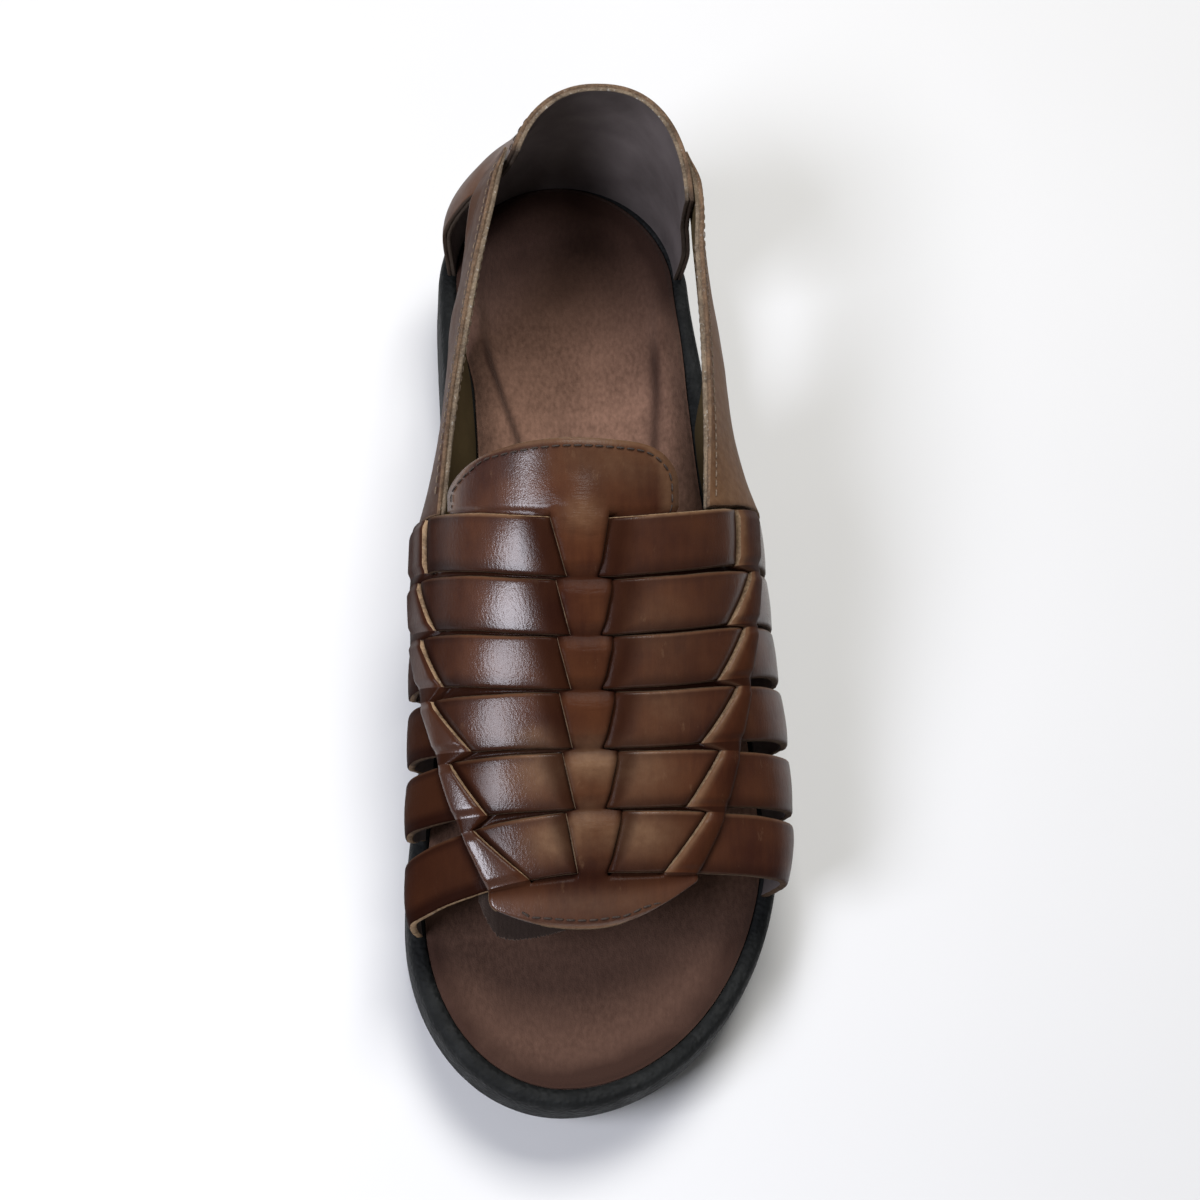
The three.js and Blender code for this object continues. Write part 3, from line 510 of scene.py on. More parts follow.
def closed_sheet(top, bottom, kept=None, edge=plain_edge, values=None):
    """Thick sheet between two grids of points, with a cut edge round the cells that are kept."""
    rows, columns = top.shape[:2]
    if kept is None:
        kept = np.ones((rows - 1, columns - 1), bool)
    index = np.arange(rows * columns).reshape(rows, columns)
    a, b, c, d = index[:-1, :-1], index[:-1, 1:], index[1:, 1:], index[1:, :-1]
    cells = np.stack([a, b, c, d], -1)[kept]
    around = np.pad(kept, 1)
    flat_top, flat_bottom = top.reshape(-1, 3), bottom.reshape(-1, 3)
    centre = (top[:-1, :-1] + top[1:, 1:] + top[:-1, 1:] + top[1:, :-1]) / 4
    borders = []
    for down, right, start, end in ((-1, 0, a, b), (0, 1, b, c), (1, 0, c, d), (0, -1, d, a)):
        open_side = kept & ~around[1 + down : rows + down, 1 + right : columns + right]
        borders.append((start[open_side], end[open_side], centre[open_side]))
    start, end, middle = (np.concatenate(column) for column in zip(*borders))
    along = flat_top[end] - flat_top[start]
    through = flat_bottom[start] - flat_top[start]
    away = unit(np.cross(along, through))
    away *= np.sign(np.einsum("ij,ij->i", away, (flat_top[start] + flat_top[end]) / 2 - middle))[:, None]
    outward = np.zeros_like(flat_top)
    np.add.at(outward, start, away)
    np.add.at(outward, end, away)
    border = np.unique(np.concatenate([start, end]))
    outward = unit(outward[border])
    count = rows * columns
    levels = EDGE_LEVELS[edge]
    points = [flat_top, flat_bottom]
    number = {0: np.arange(count), levels: np.arange(count) + count}
    for level in range(1, levels):
        share = level / levels
        fray = FRAY[edge] * (ragged.random((len(border), 1)) - 0.5)
        ring = flat_top[border] * (1 - share) + flat_bottom[border] * share + outward * (edge(share) + fray)
        number[level] = np.zeros(count, int)
        number[level][border] = 2 * count + (level - 1) * len(border) + np.arange(len(border))
        points.append(ring)
    faces = [cells, cells[:, ::-1] + count]
    materials = [FACE, LINING]
    for level in range(levels):
        upper, lower = number[level], number[level + 1]
        faces.append(np.stack([upper[end], upper[start], lower[start], lower[end]], -1))
        materials.append(CUT)
    spread = {}
    for key, value in (values or {}).items():
        flat = np.broadcast_to(value, (rows, columns)).reshape(-1)
        spread[key] = np.concatenate([flat, flat, np.tile(flat[border], levels - 1)])
    rings = np.repeat(np.arange(1, levels) / levels, len(border))
    spread["through"] = np.concatenate([np.zeros(count), np.ones(count), rings])
    return Shape(np.concatenate(points), faces, materials, spread).facing_out()


def loft(loops, materials):
    """Solid through loops of points of equal count, closed straight across at both ends."""
    count = len(loops[0])
    k = np.arange(count)
    faces = []
    for level in range(len(loops) - 1):
        low, high = level * count, (level + 1) * count
        after = (k + 1) % count
        faces.append(np.stack([low + k, low + after, high + after, high + k], -1))
    half = np.arange(1, count // 2 - 1)
    across = np.stack([half, half + 1, count - half - 1, count - half], -1)
    tips = np.array([[0, 1, count - 1], [count // 2 - 1, count // 2, count // 2 + 1]])
    top = (len(loops) - 1) * count
    faces += [across[:, ::-1], tips[:, ::-1], across + top, tips + top]
    ends = [materials[0]] * 2 + [materials[-1]] * 2
    return Shape(np.concatenate(loops), faces, materials + ends).facing_out()


SOLE_STATIONS = 151
LOOPS_APART = 0.05


def sole_shape():
    half = GROOVE_WIDTH / 2
    lips = [g + side * reach for g in GROOVES for side in (-1, 1) for reach in (half, half + GROOVE_RAMP)]
    stations = np.unique(np.concatenate([LENGTH * eased(SOLE_STATIONS), lips]))

    def groove(s):
        depth = [smooth(half + GROOVE_RAMP, half, np.abs(s - g)) for g in GROOVES]
        return GROOVE_DEPTH * np.max(depth, axis=0)

    loops = []
    for inset, rise in zip(SOLE_SIDE["inset"], SOLE_SIDE["from_ground"]):
        x, s = sole_outline(stations, inset).T
        loops.append(place(x, s, ground_height(s) + np.maximum(rise, groove(s) + LOOPS_APART * rise)))
    for inset, drop in zip(SOLE_RIM["inset"], SOLE_RIM["below_rim"]):
        x, s = sole_outline(stations, inset, inset == RIM_WIDTH).T
        loops.append(place(x, s, rim_height(s) - drop))
    return loft(loops, [FACE] * (len(loops) - 1))


wing_edge = {side: curve(WINGS, side) for side in SIDES}


def footbed_height(x, s, inset):
    dish = (ramp(HEEL_CUP, s) + ramp(BALL_DISH, s)) * smooth(RIM_WIDTH, BOWL_REACH, inset)
    arch = ARCH_COOKIE * there_and_back(ARCH_RUN, s) * ramp(COOKIE_REACH, x - sole_edge("medial", s))
    past = [sign * (x - wing_edge[side](s)) for side, sign in SIDES.items()]
    wing = sum(smooth(-WING_SLOPE, WING_SLOPE, reach) for reach in past)
    wing *= WING_RISE * there_and_back(WING_RUN, s) * smooth(RIM_WIDTH, WING_REACH, inset)
    return rim_height(s) + INSOLE_PROUD - dish + arch + wing


OUTLINE_STATIONS = 401
INSOLE_ROWS = 170
INSOLE_COLUMNS = 71
ROW_ENDS = (0.01, 0.99)


def insole_shape():
    inset = RIM_WIDTH + SEAM_GAP
    fine = LENGTH * eased(OUTLINE_STATIONS)
    loop = sole_outline(fine, inset, True)
    lateral, medial = loop[: len(fine)], np.concatenate([loop[:1], loop[: len(fine) - 2 : -1]])
    low, high = loop[:, 1].min(), loop[:, 1].max()
    s = (low + (high - low) * eased(INSOLE_ROWS, *ROW_ENDS))[:, None]
    left, right = (np.interp(s, side[:, 1], side[:, 0]) for side in (medial, lateral))
    x = left + (right - left) * eased(INSOLE_COLUMNS)
    s = np.broadcast_to(s, x.shape)
    flat = np.stack([x.ravel(), s.ravel()], -1)
    edge = sole_outline(fine, 0, True)
    depth = np.array([np.hypot(*(edge - point).T).min() for point in flat]).reshape(x.shape)
    lip = LIP_DROP * smooth(inset + LIP_WIDTH, inset, depth)
    # Darker towards the toe; painted shade at the heel, along the edge and in a line along each wing
    darkness = sum(ramp(change, depth if where == "edge" else s) for where, change in INSOLE_DARKENING.items())
    for side in SIDES:
        line = np.exp(-(((x - wing_edge[side](s)) / WING_LINE) ** 2))
        darkness = darkness + ramp(WING_SHADE, s) * there_and_back(WING_RUN, s) * line
    top = place(x, s, footbed_height(x, s, depth) - lip)
    bottom = place(x, s, rim_height(s) - RECESS_DEPTH + SEAM_GAP)
    return closed_sheet(top, bottom, values={"darkness": darkness})


last_line = {column: curve(LAST, column) for column in LAST if column != "from_heel"}


def last_point(s, girth):
    """Point of the lining face."""
    s, girth = np.broadcast_arrays(np.asarray(s, float), np.asarray(girth, float))
    medial = girth < 0
    base = rim_height(s) + SEAM_GAP
    wide_x = np.where(medial, last_line["medial"](s), last_line["lateral"](s))
    foot_x = np.where(medial, sole_edge("medial", s) + FOOT_INSET, sole_edge("lateral", s) - FOOT_INSET)
    wide_z = base + WIDEST_RISE
    way = np.abs(girth) * np.pi / 2
    above = np.abs(girth) <= 1
    start_x = np.where(above, last_line["crown_x"](s), foot_x)
    z_above = wide_z + (last_line["crown_z"](s) - wide_z) * np.cos(way)
    z_below = base + (2 - np.abs(girth)) * WIDEST_RISE
    return place(start_x + (wide_x - start_x) * np.sin(way), s, np.where(above, z_above, z_below))


def last_normal(s, girth):
    reach = 0.02
    around = last_point(s, girth + reach) - last_point(s, girth - reach)
    along = last_point(s + 1, girth) - last_point(s - 1, girth)
    return unit(np.cross(along, around))


def raised(s, girth, height):
    """Point at a height above the lining face, square to it."""
    return last_point(s, girth) + last_normal(s, girth) * np.asarray(height)[..., None]


def girth_at(s, x):
    crown = last_line["crown_x"](s)
    wide = np.where(x < crown, last_line["medial"](s), last_line["lateral"](s)) - crown
    return np.sign(x - crown) * np.arcsin(np.clip((x - crown) / wide, 0, 1)) * 2 / np.pi


def girth_step(s, girth, distance):
    reach = 0.01
    run = np.linalg.norm(last_point(s, girth + reach) - last_point(s, girth - reach), axis=-1)
    return girth + distance * 2 * reach / run


STRAP_COUNT = len(STRAPS["width"])
ROUND_THE_FOOT = ("medial_foot", "medial_wide", "crown", "lateral_wide", "lateral_foot")
GIRTHS = (-2, -1, 0, 1, 2)
strap_ways = [{"girth": GIRTHS, "station": way} for way in zip(*(STRAPS[name] for name in ROUND_THE_FOOT))]
centre_lines = [curve(way, "station", "girth") for way in strap_ways]
plug_edge = {side: curve(PLUG_EDGES, side) for side in SIDES}
field_top = curve(STRAP_FIELD, "top", "share")


def strap_station(strap, across, girth):
    """Station of a line along a strap: across is -1 at its rear edge and 1 at its front edge."""
    reach = 0.02
    line = centre_lines[strap]
    centre = line(girth)
    ahead = last_point(line(girth + reach), girth + reach)
    behind = last_point(line(girth - reach), girth - reach)
    along = (last_point(centre + 1, girth) - last_point(centre - 1, girth)) / 2
    skew = np.linalg.norm(np.cross(along, unit(ahead - behind)), axis=-1)
    return centre + across * STRAPS["width"][strap] / 2 / skew


def crossings(strap, across, side):
    """Girths where a line along a strap meets the plug's outer edge, the slit and the spine."""
    share = (np.clip(across, -1, 1) + 1) / 2
    slit = SLITS[side + "_rear"][strap] * (1 - share) + SLITS[side + "_front"][strap] * share
    half = SPINE_HALF_REAR * (1 - share) + SPINE_HALF_FRONT * share
    spine = girth_at(STRAPS["crown"][strap], SLITS["spine_x"][strap] + SIDES[side] * half)
    return plug_edge[side](strap_station(strap, across, slit)), slit, spine


def shoulder(share, kind):
    """Drop of a sheet's rounded edges, for share from 0 to 1 across it."""
    drop, reach = SHOULDERS[kind]
    near = np.clip(1 - np.minimum(share, 1 - share) / reach, 0, 1)
    return drop * (1 - np.sqrt(1 - near**2))


ACROSS = np.sin(np.linspace(-np.pi / 2, np.pi / 2, 19))
# Points of a strap between one crossing and the next, and which of these stretches are the fields
STRAP_STEPS = (30, 7, 40, 10, 40, 7, 30)
MEDIAL_FIELD, LATERAL_FIELD = 2, 4


def strap_row(strap, across):
    """Girths, stations, heights and tucked shares of one line along a strap."""
    medial, lateral = (crossings(strap, across, side) for side in SIDES)
    knots = (-2, *medial, *lateral[::-1], 2)
    parts = [np.linspace(a, b, n, endpoint=False) for a, b, n in zip(knots, knots[1:], STRAP_STEPS)]
    share = [np.linspace(0, 1, n, endpoint=False) for n in STRAP_STEPS]
    tops = [np.full(n, float(STRAP_TOP)) for n in STRAP_STEPS]
    tucked = [np.full(n, float(0 < part < len(parts) - 1)) for part, n in enumerate(STRAP_STEPS)]
    for field, way in ((MEDIAL_FIELD, share[MEDIAL_FIELD]), (LATERAL_FIELD, 1 - share[LATERAL_FIELD])):
        tops[field] = field_top(way)
        tucked[field] = ramp(TUCK["slit"], way) + ramp(TUCK["spine"], way)
    girths = np.concatenate([*parts, [2]])
    waves = sum(height * np.sin(girths * along + strap * shift) for height, along, shift in STRAP_WAVES)
    stations = strap_station(strap, across, girths) + waves
    return girths, stations, np.concatenate([*tops, [STRAP_TOP]]), np.concatenate([*tucked, [0]])


def strap_shape(strap):
    """One strap from sole to sole: under the plug's edge, over the field, under the spine and back."""
    rows = [strap_row(strap, across) for across in ACROSS]
    girths, stations, tops, tucked = (np.array(grid) for grid in zip(*rows))
    across = ACROSS[:, None]
    body = tops + STRAP_CROWN * (1 - across**2)
    top = raised(stations, girths, body - shoulder((across + 1) / 2, "strap"))
    bottom = raised(stations, girths, body - STRAP_THICKNESS)
    for grid in (top, bottom):
        grid[:, (0, -1), 2] -= STRAP_SUNK
    values = tones(top)
    values["pale"] = strap_pale(strap, across, girths)
    edges = ramp(STRAP_TONE["edge_dull"], np.abs(across))
    side = ramp(STRAP_TONE["side_dull_and_shade"], -girths - STRAP_GLOSS_END[strap])
    dull = np.maximum(edges, STRAP_DULL[strap])
    values["dull"] = np.maximum(np.maximum(side, TUCK["dull"] * tucked), dull)
    rear = STRAP_REAR_RUB[strap] * ramp(STRAP_TONE["rear_rub"], -across)
    front = ramp(STRAP_TONE["front_rub"], across) * ramp(STRAP_TONE["lateral_rub"], girths)
    values["rub"] = np.clip(values["rub"] + (rear + front) * (1 - tucked), 0, 1)
    # Painted shade: along the edges, partly burnish, where the strap goes under and round its medial side
    rear = ramp(STRAP_TONE["rear_shade"], -across) * ramp(STRAP_TONE["rear_shade_stop"], -across)
    burnish_and_shade = ramp(STRAP_TONE["front_shade"], across) + rear
    values["shade"] = np.clip(np.maximum(burnish_and_shade, TUCK["shade"] * tucked) + SIDE_SHADE * side, 0, 1)
    return closed_sheet(top, bottom, values=values)


def strap_pale(strap, across, girths):
    """How bare a strap's cut edges are: most at the tongue and at the toe, a little round the sides."""
    front = across > 0
    pale = np.where(front & (girths < STRAP_PALE["side_girth"]), STRAP_PALE["side"], STRAP_PALE["rest"])
    if strap == 0:
        pale = np.where(across < 0, STRAP_PALE["tongue"], pale)
    if strap == STRAP_COUNT - 1:
        pale = np.where(front & (girths < STRAP_PALE["toe_girth"]), STRAP_PALE["toe"], pale)
    return pale


BAND_SHARES = np.linspace(0, 1, 10)
FIELD_SHARES = np.array((0, 0.06, 0.12, 0.18, 0.24, 0.31, 0.38, 0.45, 0.52, 0.6, 0.68, 0.76, 0.84, 0.92, 1))
SPINE_SHARES = np.linspace(-1, 1, 17)
ON_BAND, ON_FIELD, ON_SPINE = 0, 1, 2
SIDE_ZONES = np.repeat([ON_BAND, ON_FIELD], [len(BAND_SHARES), len(FIELD_SHARES)])
ZONES = np.concatenate([SIDE_ZONES, np.full(len(SPINE_SHARES), ON_SPINE), SIDE_ZONES[::-1]])
SIDE_SHARES = np.concatenate([BAND_SHARES, FIELD_SHARES])
SHARES = np.concatenate([SIDE_SHARES, SPINE_SHARES, SIDE_SHARES[::-1]])
PLUG_STEPS = 37
SPINE_COLUMN = len(SIDE_SHARES) + len(SPINE_SHARES) // 2


def tongue_column(side):
    """Column of the tongue's edge, counted from the plug's edge on that side."""
    return len(BAND_SHARES) + int(np.argmin(np.abs(FIELD_SHARES - TONGUE_SHARE[side])))


FIRST_TONGUE = tongue_column("medial")
LAST_TONGUE = len(SHARES) - 1 - tongue_column("lateral")


class PlugRow:
    """One row of the plug's grid, across the foot."""

    def __init__(self, kind, girths, stations, tops):
        self.kind = kind
        self.girths = girths
        self.stations = stations
        self.tops = tops


def plug_row(strap, across):
    crown = STRAPS["crown"][strap]
    sides = []
    for side, sign in SIDES.items():
        band, slit, spine = crossings(strap, across, side)
        slit_foot = girth_step(crown, slit, -sign * SLIT_WIDTH)
        spine_foot = girth_step(crown, spine, sign * SLIT_WIDTH)
        field = slit_foot + (spine_foot - slit_foot) * FIELD_SHARES
        sides.append((np.concatenate([band + (slit - band) * BAND_SHARES, field]), spine))
    (medial, medial_spine), (lateral, lateral_spine) = sides
    middle = girth_at(crown, SLITS["spine_x"][strap])
    reach = np.where(SPINE_SHARES < 0, medial_spine, lateral_spine) - middle
    girths = np.concatenate([medial, middle + reach * np.abs(SPINE_SHARES), lateral[::-1]])
    on_strap = abs(across) <= 1
    band = BAND_TOP["gap"] + (BAND_TOP["strap"] - BAND_TOP["gap"]) * ramp(BAND_LIFT, 1 - abs(across))
    band = band + BAND_SHARES * (1 - BAND_SHARES) - shoulder(BAND_SHARES, "band")
    field = np.full(len(FIELD_SHARES), FIELD_TOP["gap"])
    if on_strap:
        under_strap = field_top(FIELD_SHARES) - STRAP_THICKNESS - FIELD_CLEAR
        field = np.clip(under_strap, FIELD_TOP["least"], FIELD_TOP["strap"])
    spine = SPINE_TOP["dip"] + (SPINE_TOP["knuckle"] - SPINE_TOP["dip"]) * spine_lift(strap, across)
    spine = spine + SPINE_SWELL * (1 - SPINE_SHARES**2) - shoulder((SPINE_SHARES + 1) / 2, "spine")
    side_tops = np.concatenate([band, field])
    tops = np.concatenate([side_tops, spine, side_tops[::-1]])
    return PlugRow("strap" if on_strap else "gap", girths, strap_station(strap, across, girths), tops)


def spine_lift(strap, across):
    """Height of a spine segment: a rounded knuckle towards its rear end and a dip at its front end."""
    rise = 1 if strap == 0 else ramp(KNUCKLE_RISE, across)
    return rise * (1 - ramp(KNUCKLE_FALL, across))


def tongue_rows(base):
    rows = []
    root = base.stations[SPINE_COLUMN]
    x = last_point(base.stations, base.girths)[:, 0]
    for share in TONGUE_ROWS:
        rounding = max(share * TONGUE_LENGTH + TONGUE_CORNER - TONGUE_LENGTH, 0) / TONGUE_CORNER
        narrowing = TONGUE_CORNER * (1 - math.sqrt(1 - rounding**2)) / TONGUE_HALF
        stations = root - share * TONGUE_LENGTH + (base.stations - root) * (1 - share)
        girths = girth_at(stations, TONGUE_X + (x - TONGUE_X) * (1 - narrowing))
        ridge = np.exp(-(((x - SLITS["spine_x"][0]) / RIDGE_HALF) ** 2)) * ramp(RIDGE_FADE, share)
        edge = shoulder(1 - share / 2, "tongue") + ramp(TONGUE_EDGE, share)
        tops = TONGUE_TOP + (SPINE_TOP["knuckle"] - TONGUE_TOP) * ridge - edge
        rows.append(PlugRow("tongue", girths, stations, tops))
    base.tops = np.where(ZONES == ON_SPINE, base.tops, np.minimum(base.tops, TONGUE_TOP))
    return rows


def rim_rows(base):
    rows = []
    x = last_point(base.stations, base.girths)[:, 0]
    fall = np.maximum(1 - ((x - FRONT_RIM_X) / FRONT_RIM_HALF) ** 2, RIM_ENDS["least"])
    reach = FRONT_RIM * fall ** RIM_ENDS["power"]
    for share in RIM_ROWS:
        rounding = max(share - RIM_ROUND_START, 0) / (1 - RIM_ROUND_START)
        narrowing = FRONT_RIM_CORNER * (1 - math.sqrt(1 - rounding**2)) / FRONT_RIM_HALF
        stations = base.stations + share * reach
        girths = girth_at(stations, FRONT_RIM_X + (x - FRONT_RIM_X) * (1 - narrowing))
        top = RIM_TOP + RIM_SWELL * math.sin(math.pi * share) - ramp(RIM_EDGE, share)
        rows.append(PlugRow("rim", girths, stations, np.full(len(x), top)))
    return rows


def plug_pale(kinds):
    """How bare the plug's cut edges are: most at the slits on the medial side. The spine's lateral edge is
    kept dark as painted shade.
    """
    pale = np.zeros((len(kinds), len(SHARES)))
    slit_edge = len(BAND_SHARES) - 1
    pale[:, slit_edge] = PLUG_PALE["medial_slit"]
    pale[:, len(SHARES) - 1 - slit_edge] = PLUG_PALE["lateral_slit"]
    # Only the spine's medial edge is bared; its lateral edge keeps the dark tone, a painted shade
    pale[:, len(SIDE_SHARES)] = PLUG_PALE["spine"]
    for kind in ("tongue", "rim"):
        pale[kinds == kind] = PLUG_PALE[kind]
    return pale


def plug_gloss(kinds, girths, tops, x):
    """Where the plug lacks gloss, and its painted shade: in its gaps and dips, beside the slits, at the
    rim's rear and round the medial side.
    """
    lift = np.clip((tops - SPINE_TOP["dip"]) / (SPINE_TOP["knuckle"] - SPINE_TOP["dip"]), 0, 1)
    woven = np.isin(kinds, ("strap", "gap"))[:, None]
    spine, band = (woven & (ZONES == zone) for zone in (ON_SPINE, ON_BAND))
    tongue, gap = ((kinds == kind)[:, None] for kind in ("tongue", "gap"))
    rim = np.cumsum(kinds == "rim")[:, None]
    medial = np.arange(len(SHARES)) < SPINE_COLUMN
    # The medial side loses its gloss and also takes painted shade
    side = ramp(PLUG_DULL["side"], -girths)
    places = (
        (spine, PLUG_DULL["spine"]),
        (band, np.where(medial, ramp(PLUG_DULL["medial_band"], SHARES), PLUG_DULL["lateral_band"])),
        (gap, PLUG_DULL["gap"]),
        (tongue, ramp(PLUG_DULL["tongue"], x)),
        (rim > 0, ramp(PLUG_DULL["rim"], rim)),
    )
    dull = side
    for where, least in places:
        dull = np.where(where, np.maximum(dull, least), dull)
    # Painted shade in the spine's dips and along its edges, beside the slits, in the gaps and at the rim's
    # rear
    dips = ramp(PLUG_SHADE["dip"], lift) + ramp(PLUG_SHADE["spine_edge"], np.abs(SHARES))
    beside = np.where(medial, PLUG_SHADE["medial_band"], ramp(PLUG_SHADE["lateral_band"], SHARES))
    shade = np.where(spine, dips, np.where(band, beside, 0))
    shade = np.where(gap & ~spine, PLUG_SHADE["gap"], shade)
    shade = np.where(rim > 0, ramp(PLUG_SHADE["rim"], rim), shade)
    return dull, np.clip(shade + PLUG_SHADE["side"] * side, 0, 1)


def plug_rub(rub, kinds):
    """Tan wear on the plug, with more along the lateral slits and the edges of the tongue and the rim."""
    columns = np.arange(len(SHARES))
    rows = np.arange(len(kinds))[:, None]
    woven, tongue = (np.isin(kinds, names)[:, None] for names in (("strap", "gap"), ("tongue",)))
    beside = woven & (ZONES == ON_BAND) & (columns > SPINE_COLUMN)
    rub = rub + np.where(beside, ramp(PLUG_RUB["lateral_band"], SHARES), 0)
    ends = np.minimum(np.abs(columns - FIRST_TONGUE), np.abs(columns - LAST_TONGUE))
    edge = (rows < TONGUE_RUB_ROWS) | (ends < TONGUE_RUB_COLUMNS)
    rub = rub + np.where(tongue & edge, PLUG_RUB["tongue"], 0)
    return np.clip(rub + ramp(PLUG_RUB["rim"], rows - len(kinds)), 0, 1)


def plug_shape():
    """The panel that the straps run through: tongue, edge bands, spine and front rim in one sheet."""
    rows = []
    for strap in range(STRAP_COUNT):
        edge = 1 + 2 * GROOVE_RUN / STRAPS["width"][strap]
        rows += [plug_row(strap, across) for across in (-edge, *np.linspace(-1, 1, PLUG_STEPS), edge)]
    rows = tongue_rows(rows[0]) + rows + rim_rows(rows[-1])
    keys = ("girths", "stations", "tops")
    girths, stations, tops = (np.array([getattr(row, key) for row in rows]) for key in keys)
    kinds = np.array([row.kind for row in rows])
    kept = np.ones((len(rows) - 1, len(SHARES) - 1), bool)
    slits = ZONES[1:] != ZONES[:-1]
    on_strap = (kinds[:-1] == "strap") & (kinds[1:] == "strap")
    kept[np.ix_(on_strap, slits)] = False
    columns = np.arange(len(SHARES) - 1)
    kept[np.ix_(kinds[:-1] == "tongue", (columns < FIRST_TONGUE) | (columns >= LAST_TONGUE))] = False
    surface = last_point(stations, girths)
    tops = tops + creases(surface[..., 0], stations)
    top = raised(stations, girths, tops)
    bottom = raised(stations, girths, np.maximum(tops - PLUG_THICKNESS, 0))
    values = tones(top)
    values["pale"] = plug_pale(kinds)
    values["wrinkle"] = wrinkles(surface[..., 0], stations)
    values["dull"], values["shade"] = plug_gloss(kinds, girths, tops, surface[..., 0])
    values["rub"] = plug_rub(values["rub"], kinds)
    return closed_sheet(top, bottom, kept, values=values), top, kinds


counter_line = {column: curve(COUNTER, column, "height") for column in COUNTER if column != "height"}


def counter_front(turn, height):
    return counter_line["front"](height) + turn * counter_line["skew"](height)


def counter_point(turn, height):
    """Outer face of the counter: turn runs from -1 at its medial front edge through the heel to 1."""
    medial, lateral = counter_line["medial"](height), counter_line["lateral"](height)
    front, back = counter_front(turn, height), counter_line["back"](height)
    fullness = 2 / counter_line["power"](height)
    angle = np.abs(turn) * np.pi / 2
    x = (medial + lateral) / 2 + (lateral - medial) / 2 * np.sign(turn) * np.sin(angle) ** fullness
    return place(x, front - (front - back) * np.cos(angle).clip(0) ** fullness, height)


def counter_edge(side, s, height):
    middle = (counter_line["medial"](height) + counter_line["lateral"](height)) / 2
    front, back = counter_front(SIDES[side], height), counter_line["back"](height)
    ahead = np.clip((front - s) / (front - back), 0, 1)
    power = counter_line["power"](height)
    return middle + (counter_line[side](height) - middle) * (1 - ahead**power) ** (1 / power)


COUNTER_ROWS = 46
COUNTER_COLUMNS = 121
TURN_STEP = 0.02


def counter_shape():
    share = eased(COUNTER_ROWS)[:, None]
    turn = np.linspace(-1, 1, COUNTER_COLUMNS)
    collar_pale = COUNTER_PALE["collar"] - ramp(COUNTER_PALE["ends"], np.abs(turn))
    trim = MEDIAL_TRIM * np.maximum(share - TRIM_START, 0) / (1 - TRIM_START)
    turn = np.where(turn < 0, turn * (1 - trim), turn)
    foot = rim_height(counter_line["back"](COUNTER["height"][0])) - COUNTER_SUNK
    collar = COLLAR_SIDE + (COLLAR_BACK - COLLAR_SIDE) * np.cos(turn * np.pi / 2) ** COLLAR_POWER
    height = foot + (collar - foot) * share
    ahead = counter_point(np.minimum(turn + TURN_STEP, 1), height)
    around = ahead - counter_point(np.maximum(turn - TURN_STEP, -1), height)
    inward = unit(np.stack([around[..., 1], -around[..., 0], np.zeros(turn.shape)], -1))
    outer = counter_point(turn, height)
    lining = outer + inward * COUNTER_THICKNESS
    values = tones(outer)
    values["pale"] = np.where(share > COUNTER_PALE["collar_share"], collar_pale, COUNTER_PALE["rest"])
    values["rub"] = np.clip(values["rub"] + COUNTER_RUB, 0, 1)
    values["dull"] = COUNTER_DULL
    values["shade"] = ramp(COUNTER_SHADE, share)
    return closed_sheet(outer, lining, edge=layered_edge, values=values), outer


FRONT_POWER = 4
COUNTER_LAP = (1, 14)


def band_face(side):
    """Lining face of a sling band: run goes from the counter to the vamp, drop from the top edge down."""
    sign = SIDES[side]
    top_girth, bottom_girth = BAND_FRONT[side]

    def front_point(drop):
        girth = top_girth * (1 - drop) + bottom_girth * drop
        return last_point(strap_station(0, -1, girth) - 3 * SEAM_GAP, girth)

    def edge(name, drop):
        table = BANDS[side][name]
        end = front_point(drop)
        line = {"from_heel": (*table["from_heel"], from_heel_of(end))}
        line["x"] = (*table["x"], end[0])
        line["z"] = (*table["z"], end[2])
        x, z = curve(line, "x"), curve(line, "z")
        first, last = line["from_heel"][0], line["from_heel"][-1]

        def read(run):
            s = first + (last - first) * run
            return above_rim(place(x(s), s, z(s)))

        return read

    upper, lower = edge("top", 0.0), edge("bottom", 1.0)

    def straight(run, drop):
        top, bottom = upper(run), lower(run)
        point = top * (1 - drop[..., None]) + bottom * drop[..., None]
        bulge = BAND_BULGE[side] * (top[..., 2] - bottom[..., 2]) ** 2 * np.sin(np.pi * drop) ** 2
        point[..., 0] += sign * bulge * (1 - run**FRONT_POWER)
        return point

    def read(run, drop):
        run, drop = np.broadcast_arrays(np.asarray(run, float), np.asarray(drop, float))
        point = straight(run, drop)
        point += (front_point(drop) - straight(np.ones_like(run), drop)) * (run**FRONT_POWER)[..., None]
        s, z = from_heel_of(point), point[..., 2]
        full, end = (counter_front(sign, z) + lap for lap in COUNTER_LAP)
        clear = counter_edge(side, s, z) + sign * 2 * SEAM_GAP
        push = np.maximum(sign * (clear - point[..., 0]), 0) * smooth(end, full, s)
        point[..., 0] += sign * push
        return point

    return read


def above_rim(points):
    lifted = points.copy()
    lifted[..., 2] = np.maximum(points[..., 2], rim_height(from_heel_of(points)) + SEAM_GAP)
    return lifted


BAND_ROWS = 91
BAND_COLUMNS = 37
BAND_STEP = 0.01


